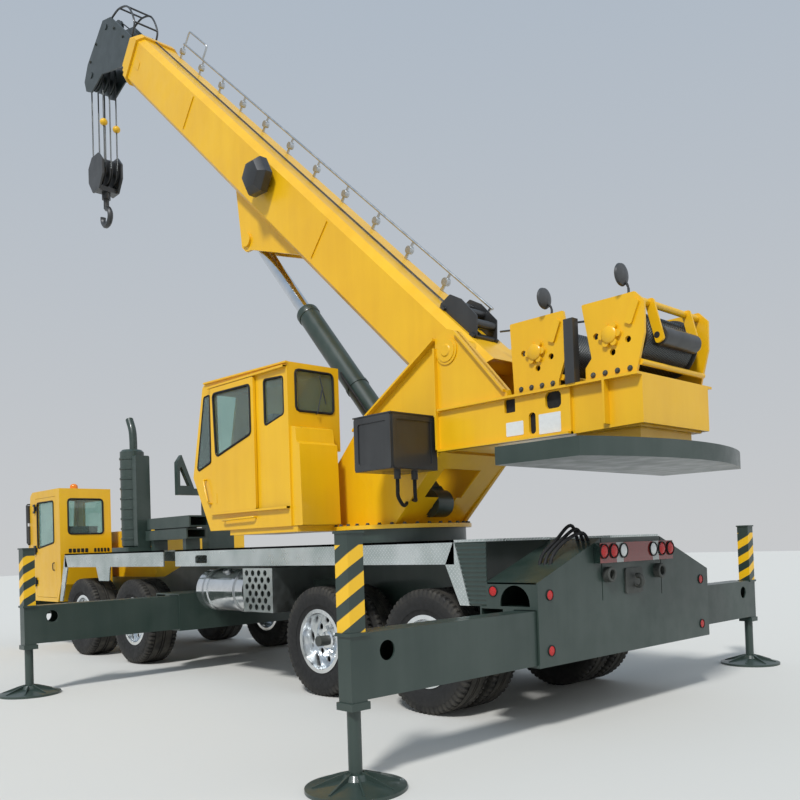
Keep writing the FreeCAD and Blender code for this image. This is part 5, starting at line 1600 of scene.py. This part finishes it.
def head_bolts():
    spots = [(9.150, -0.060), (9.150, -0.220), (9.150, -0.380), (9.500, -0.080), (9.900, -0.080), (10.430, -0.500),
             (10.470, -0.800)]
    normal = (0, 1, 0)
    parts = []
    for out, up in spots:
        for side in (1, -1):
            place_at = on_boom(out, side * 0.207, up)
            parts += hexes([place_at], (0, side, 0), 0.018, 0.020)
    return parts


add_piece("head_bolts", head_bolts(), steel, "boom_head", 30)
print("boom fittings made")

# %% [markdown]
# ## Hoist rope and falls
#
# The rope leaves the main drum's top, runs along the boom's roof and over the top sheave to the head, and six falls
# hang from the head to the hook block. Each length rides the body that it lies on, so it moves with it.

# %% Rope runs and falls
FALL_LINES = (-0.110, 0.0, 0.110)
FALL_REACH = 0.2153
BLOCK_Z = 7.850


def falls():
    low = BLOCK_Z + 0.010
    top = PIVOT[1] + HEAD_PIN[0] * math.sin(TILT) + HEAD_PIN[1] * math.cos(TILT)
    return [np.stack([np.full(60, HOOK_X + side * FALL_REACH), np.full(60, y), np.linspace(low, top, 60)], -1)
            for y in FALL_LINES for side in (1, -1)]


def roof_rope():
    return boom_route([(s, 0.060, 0.160) for s in np.linspace(0.10, 8.800, 160)])


def drum_rope():
    """From the top of the main drum's coil to the boom's foot."""
    start, end = np.array([DRUM_X[0] + 0.02, 0.06, DRUM_Z + 0.237]), np.array([PIVOT[0] - 0.24, 0.06, PIVOT[1] + 0.200])
    return start + (end - start) * np.linspace(0, 1, 60)[:, None]


def head_rope():
    """Over the top sheave's groove: straight, an arc of its radius, then down to the head."""
    (out, up), reach = TOP_SHEAVE, 0.160
    v = np.linspace(math.radians(100), math.radians(-20), 24)
    arc = np.stack([out + reach * np.cos(v), np.full(24, 0.0), up + reach * np.sin(v)], -1)
    points = np.concatenate([[(9.230, 0.03, 0.040)], arc, [(10.420, 0.0, -0.700)]])
    return boom_route(points)


def thick_rope(name, paths, body, radius, sides=8):
    parts = [tube(path, radius, sides, (0.11, 0.97, 0.21), True) for path in paths]
    return add_piece(name, parts, rope, body, 60, lay=np.concatenate([run_of(path, sides) for path in paths]))


thick_rope("hoist_falls", falls(), "block", 0.0118)
add_rope("rope_on_roof", [roof_rope()], "boom_base")
add_rope("rope_from_drum", [drum_rope()], "upper")
add_rope("rope_over_head", [head_rope()], "boom_head")
print("ropes made")

# %% [markdown]
# ## Hoses, valve box, lift cylinder and small plates
#
# Clipped hydraulic hoses run up the lift barrel and out of the valve box. The barrel has a gland collar at its
# mouth and two clamp bands. The valve box has a raised rim and a sunk panel. Blank plates mark where the real
# machine has its signs.

# %% Hydraulic fittings and blank plates
BARREL_FOOT = (-0.550, 1.846)
LIFT_TURN = math.atan2(3.0, 2.81)


def cylinder_axis():
    """Foot and unit direction of the lift barrel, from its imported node's box corners."""
    foot = np.array([SLEW_X + BARREL_FOOT[0], 0.0, BARREL_FOOT[1]])
    lug = on_boom(4.250, 0.0, -0.930)
    return foot, (lug - foot) / np.linalg.norm(lug - foot)


def barrel_fittings():
    foot, way = cylinder_axis()
    collar = [(3.100, 0.129), (3.104, 0.137), (3.115, 0.140), (3.175, 0.140), (3.190, 0.136), (3.206, 0.120),
              (3.206, 0.0862), (3.100, 0.0862)]
    parts = [turned(collar + collar[:1], foot, way, 48)]
    for at in (0.700, 1.800):
        band = [(at, 0.129), (at, 0.138), (at + 0.045, 0.138), (at + 0.045, 0.129), (at, 0.129)]
        parts.append(turned(band, foot, way, 48))
    return parts


def barrel_hose():
    """A hose along the barrel's left flank, clipped by the bands, entering it above the upper band."""
    foot, way = cylinder_axis()
    over = np.cross(way, (0, 1, 0))
    line = [(0.350, 0.150, 0.02), (0.700, 0.154, 0.02), (1.200, 0.154, 0.02), (1.800, 0.154, 0.02),
            (1.960, 0.152, 0.015), (2.040, 0.128, 0.010)]
    points = [foot + way * a + np.array([0, 1, 0]) * b + over * c for a, b, c in line]
    return bent(points, 0.014, 8, 12)


def valve_parts():
    x0, x1, y1, z0, z1 = -1.084, -0.575, 1.100, 2.120, 2.620
    rim = slewed(card((x0 + 0.004, z0 + 0.004), (x1 - 0.004, z1 - 0.004), 0.02))
    hole = slewed(card((x0 + 0.060, z0 + 0.060), (x1 - 0.060, z1 - 0.060), 0.02))
    parts = [plate(rim, y1, y1 + 0.010, on_side, [hole])]
    parts.append(block((x0 - 0.008, x1 + 0.008), (0.560, y1 + 0.012), (z1, z1 + 0.012)))
    parts += [round_bar((SLEW_X + x0 + 0.130, y, z0 - 0.080), (SLEW_X + x0 + 0.130, y, z0 + 0.01), 0.032, 24)
              for y in (0.700, 0.920)]
    rear = card((0.600, z0 + 0.050), (y1 - 0.050, z1 - 0.050), 0.02)
    parts.append(plate(card((0.560, z0 + 0.010), (y1 - 0.010, z1 - 0.010), 0.02), SLEW_X + x0 - 0.008, SLEW_X + x0,
                       on_end, [rear]))
    return parts


def valve_hoses():
    x = SLEW_X - 0.954
    runs = []
    for k, y in enumerate((0.700, 0.920)):
        runs.append(bent([(x, y, 2.045), (x, y, 1.960), (x + 0.060, y - 0.060, 1.880), (x + 0.200, y * 0.72, 1.860 - 0.05 * k),
                          (x + 0.330, 0.480, 1.900 - 0.05 * k)], 0.018, 8, 12))
    return runs


def blank_plates():
    """White plates laid on the frame's sides, seated on the doubler or the side plate."""
    parts = []
    for low, high, y in (((-2.136, 2.334), (-1.950, 2.453), 0.550), ((-2.520, 2.314), (-2.300, 2.480), 0.550)):
        parts.append(plate(slewed(card(low, high, 0.008)), y, y + 0.003, on_side))
    parts.append(plate(card((-0.340, 0.960), (-0.150, 1.060), 0.008), REAR_FACE - 0.003, REAR_FACE, on_end))
    return parts


add_piece("barrel_fittings", barrel_fittings(), green_grey, "cylinder_barrel")
add_piece("barrel_hose", [barrel_hose()], hose_rubber, "cylinder_barrel", 60)
add_piece("valve_box_rims", valve_parts(), black_enamel, "upper")
add_piece("valve_hoses", valve_hoses(), hose_rubber, "upper", 60)
add_piece("blank_plates", blank_plates()[:2], white_plate, "upper")
print("hydraulic fittings and plates made")

# %% [markdown]
# ## Front side pane, rope guide, overhaul weight and box hoses
#
# Last come small things that the photo shows: the narrow pane ahead of the sliding door, the dark roller guide at
# the boom's foot, the yellow weight round one fall that stops the hook before it meets the head, wiper arms, tank
# straps with a cap, and hydraulic hoses that loop between the rear box and the frame.

# %% Small pieces
FRONT_PANE = [(1.815, 2.437), (2.110, 2.356), (1.920, 3.190), (1.800, 3.200)]


def side_panel(window, y, thick, corner=0.030):
    return plate(rounded(slewed(window), corner, 5), y, y + thick, on_side)


# a black sheet behind the front pane: painted shade of the cab's inside
add_piece("front_pane_shade", [side_panel(FRONT_PANE, CAB_SIDE, 0.0015)], seal_rubber, "upper")
add_piece("front_pane", [side_panel(FRONT_PANE, CAB_SIDE + 0.002, 0.003)], glass, "upper")
add_piece("front_pane_seal", [seal_on_side(FRONT_PANE, CAB_SIDE + 0.002, 0.011, 0.030)], seal_rubber, "upper", 60)


def rope_guide():
    """Two cheeks on the boom's roof with three rollers between them, under which the rope runs."""
    cheek = [(0.050, BOOM_ROOF), (0.700, BOOM_ROOF), (0.640, 0.300), (0.480, 0.340), (0.200, 0.320)]
    parts = [plate(rounded(cheek, 0.025), y, y + 0.012, along_boom) for y in (-0.110, 0.180)]
    for out, up, radius in ((0.200, 0.245, 0.042), (0.390, 0.262, 0.042), (0.570, 0.235, 0.042)):
        parts.append(tube(boom_route([(out, -0.100, up), (out, 0.182, up)]), radius, 24))
    for out in (0.120, 0.620):
        parts += [plate(card((out - 0.03, BOOM_ROOF), (out + 0.03, 0.170), 0.006), -0.150, 0.220, along_boom)]
    return parts


def overhaul_weights():
    """Two round yellow weights, each round one fall, hung a little above the block."""
    ball = [(0.055 * math.cos(t), 0.0125 + 0.050 * math.sin(t)) for t in np.linspace(0, math.pi, 13)]
    return [turned(ball + ball[:1], (HOOK_X - FALL_REACH, y, z), (0, 0, 1), 28) for y, z in ((0.110, 8.620), (-0.110, 8.560))]


def tank_straps():
    x0, y, z, radius = 1.190, 1.010, 0.985, 0.235
    parts = []
    for x in (x0 + 0.150, x0 + 0.780):
        strap = [(x, radius), (x, radius + 0.005), (x + 0.050, radius + 0.005), (x + 0.050, radius), (x, radius)]
        parts.append(turned([(a + SLEW_X, r) for a, r in strap], (0, y, z), (1, 0, 0), 64))
    cap = [(0, 0), (0, 0.052), (0.030, 0.052), (0.038, 0.044), (0.038, 0)]
    parts.append(turned(cap, (SLEW_X + x0 + 0.480, y + 0.100, z + 0.205), (0, 0.35, 1), 32))
    return parts


def box_hoses():
    """Three hoses from the frame's rear end, looping over the box's top and into the shoulder."""
    runs = []
    for k in range(3):
        x = SLEW_X - 2.700 + 0.05 * k
        runs.append(bent([(x, 0.440, 1.330 - 0.05 * k), (x, 0.560, 1.480 + 0.03 * k), (x + 0.02, 0.760, 1.430),
                          (x + 0.04, 0.900, 1.330), (x + 0.04, 0.960, 1.235)], 0.014, 8, 12))
    return runs


def wipers():
    parts = []
    x, z = SLEW_X + 0.300, 2.840
    for points in ([(x, 0.860, z - 0.030), (x - 0.020, 0.860, z - 0.030), (x - 0.020, 0.780, z + 0.260)],
                   [(x - 0.014, 0.740, z + 0.080), (x - 0.014, 0.815, z + 0.370)]):
        parts.append(tube(points, 0.006, 8, (1, 0.1, 0)))
    return parts


add_piece("rope_guide", rope_guide(), black_enamel, "boom_base")
add_piece("overhaul_weights", overhaul_weights(), yellow, "block")
add_piece("tank_straps", tank_straps(), galvanised, "carrier")
add_piece("box_hoses", box_hoses(), hose_rubber, "carrier", 60)
add_piece("rear_wiper", wipers(), black_enamel, "upper")
print("small pieces made")
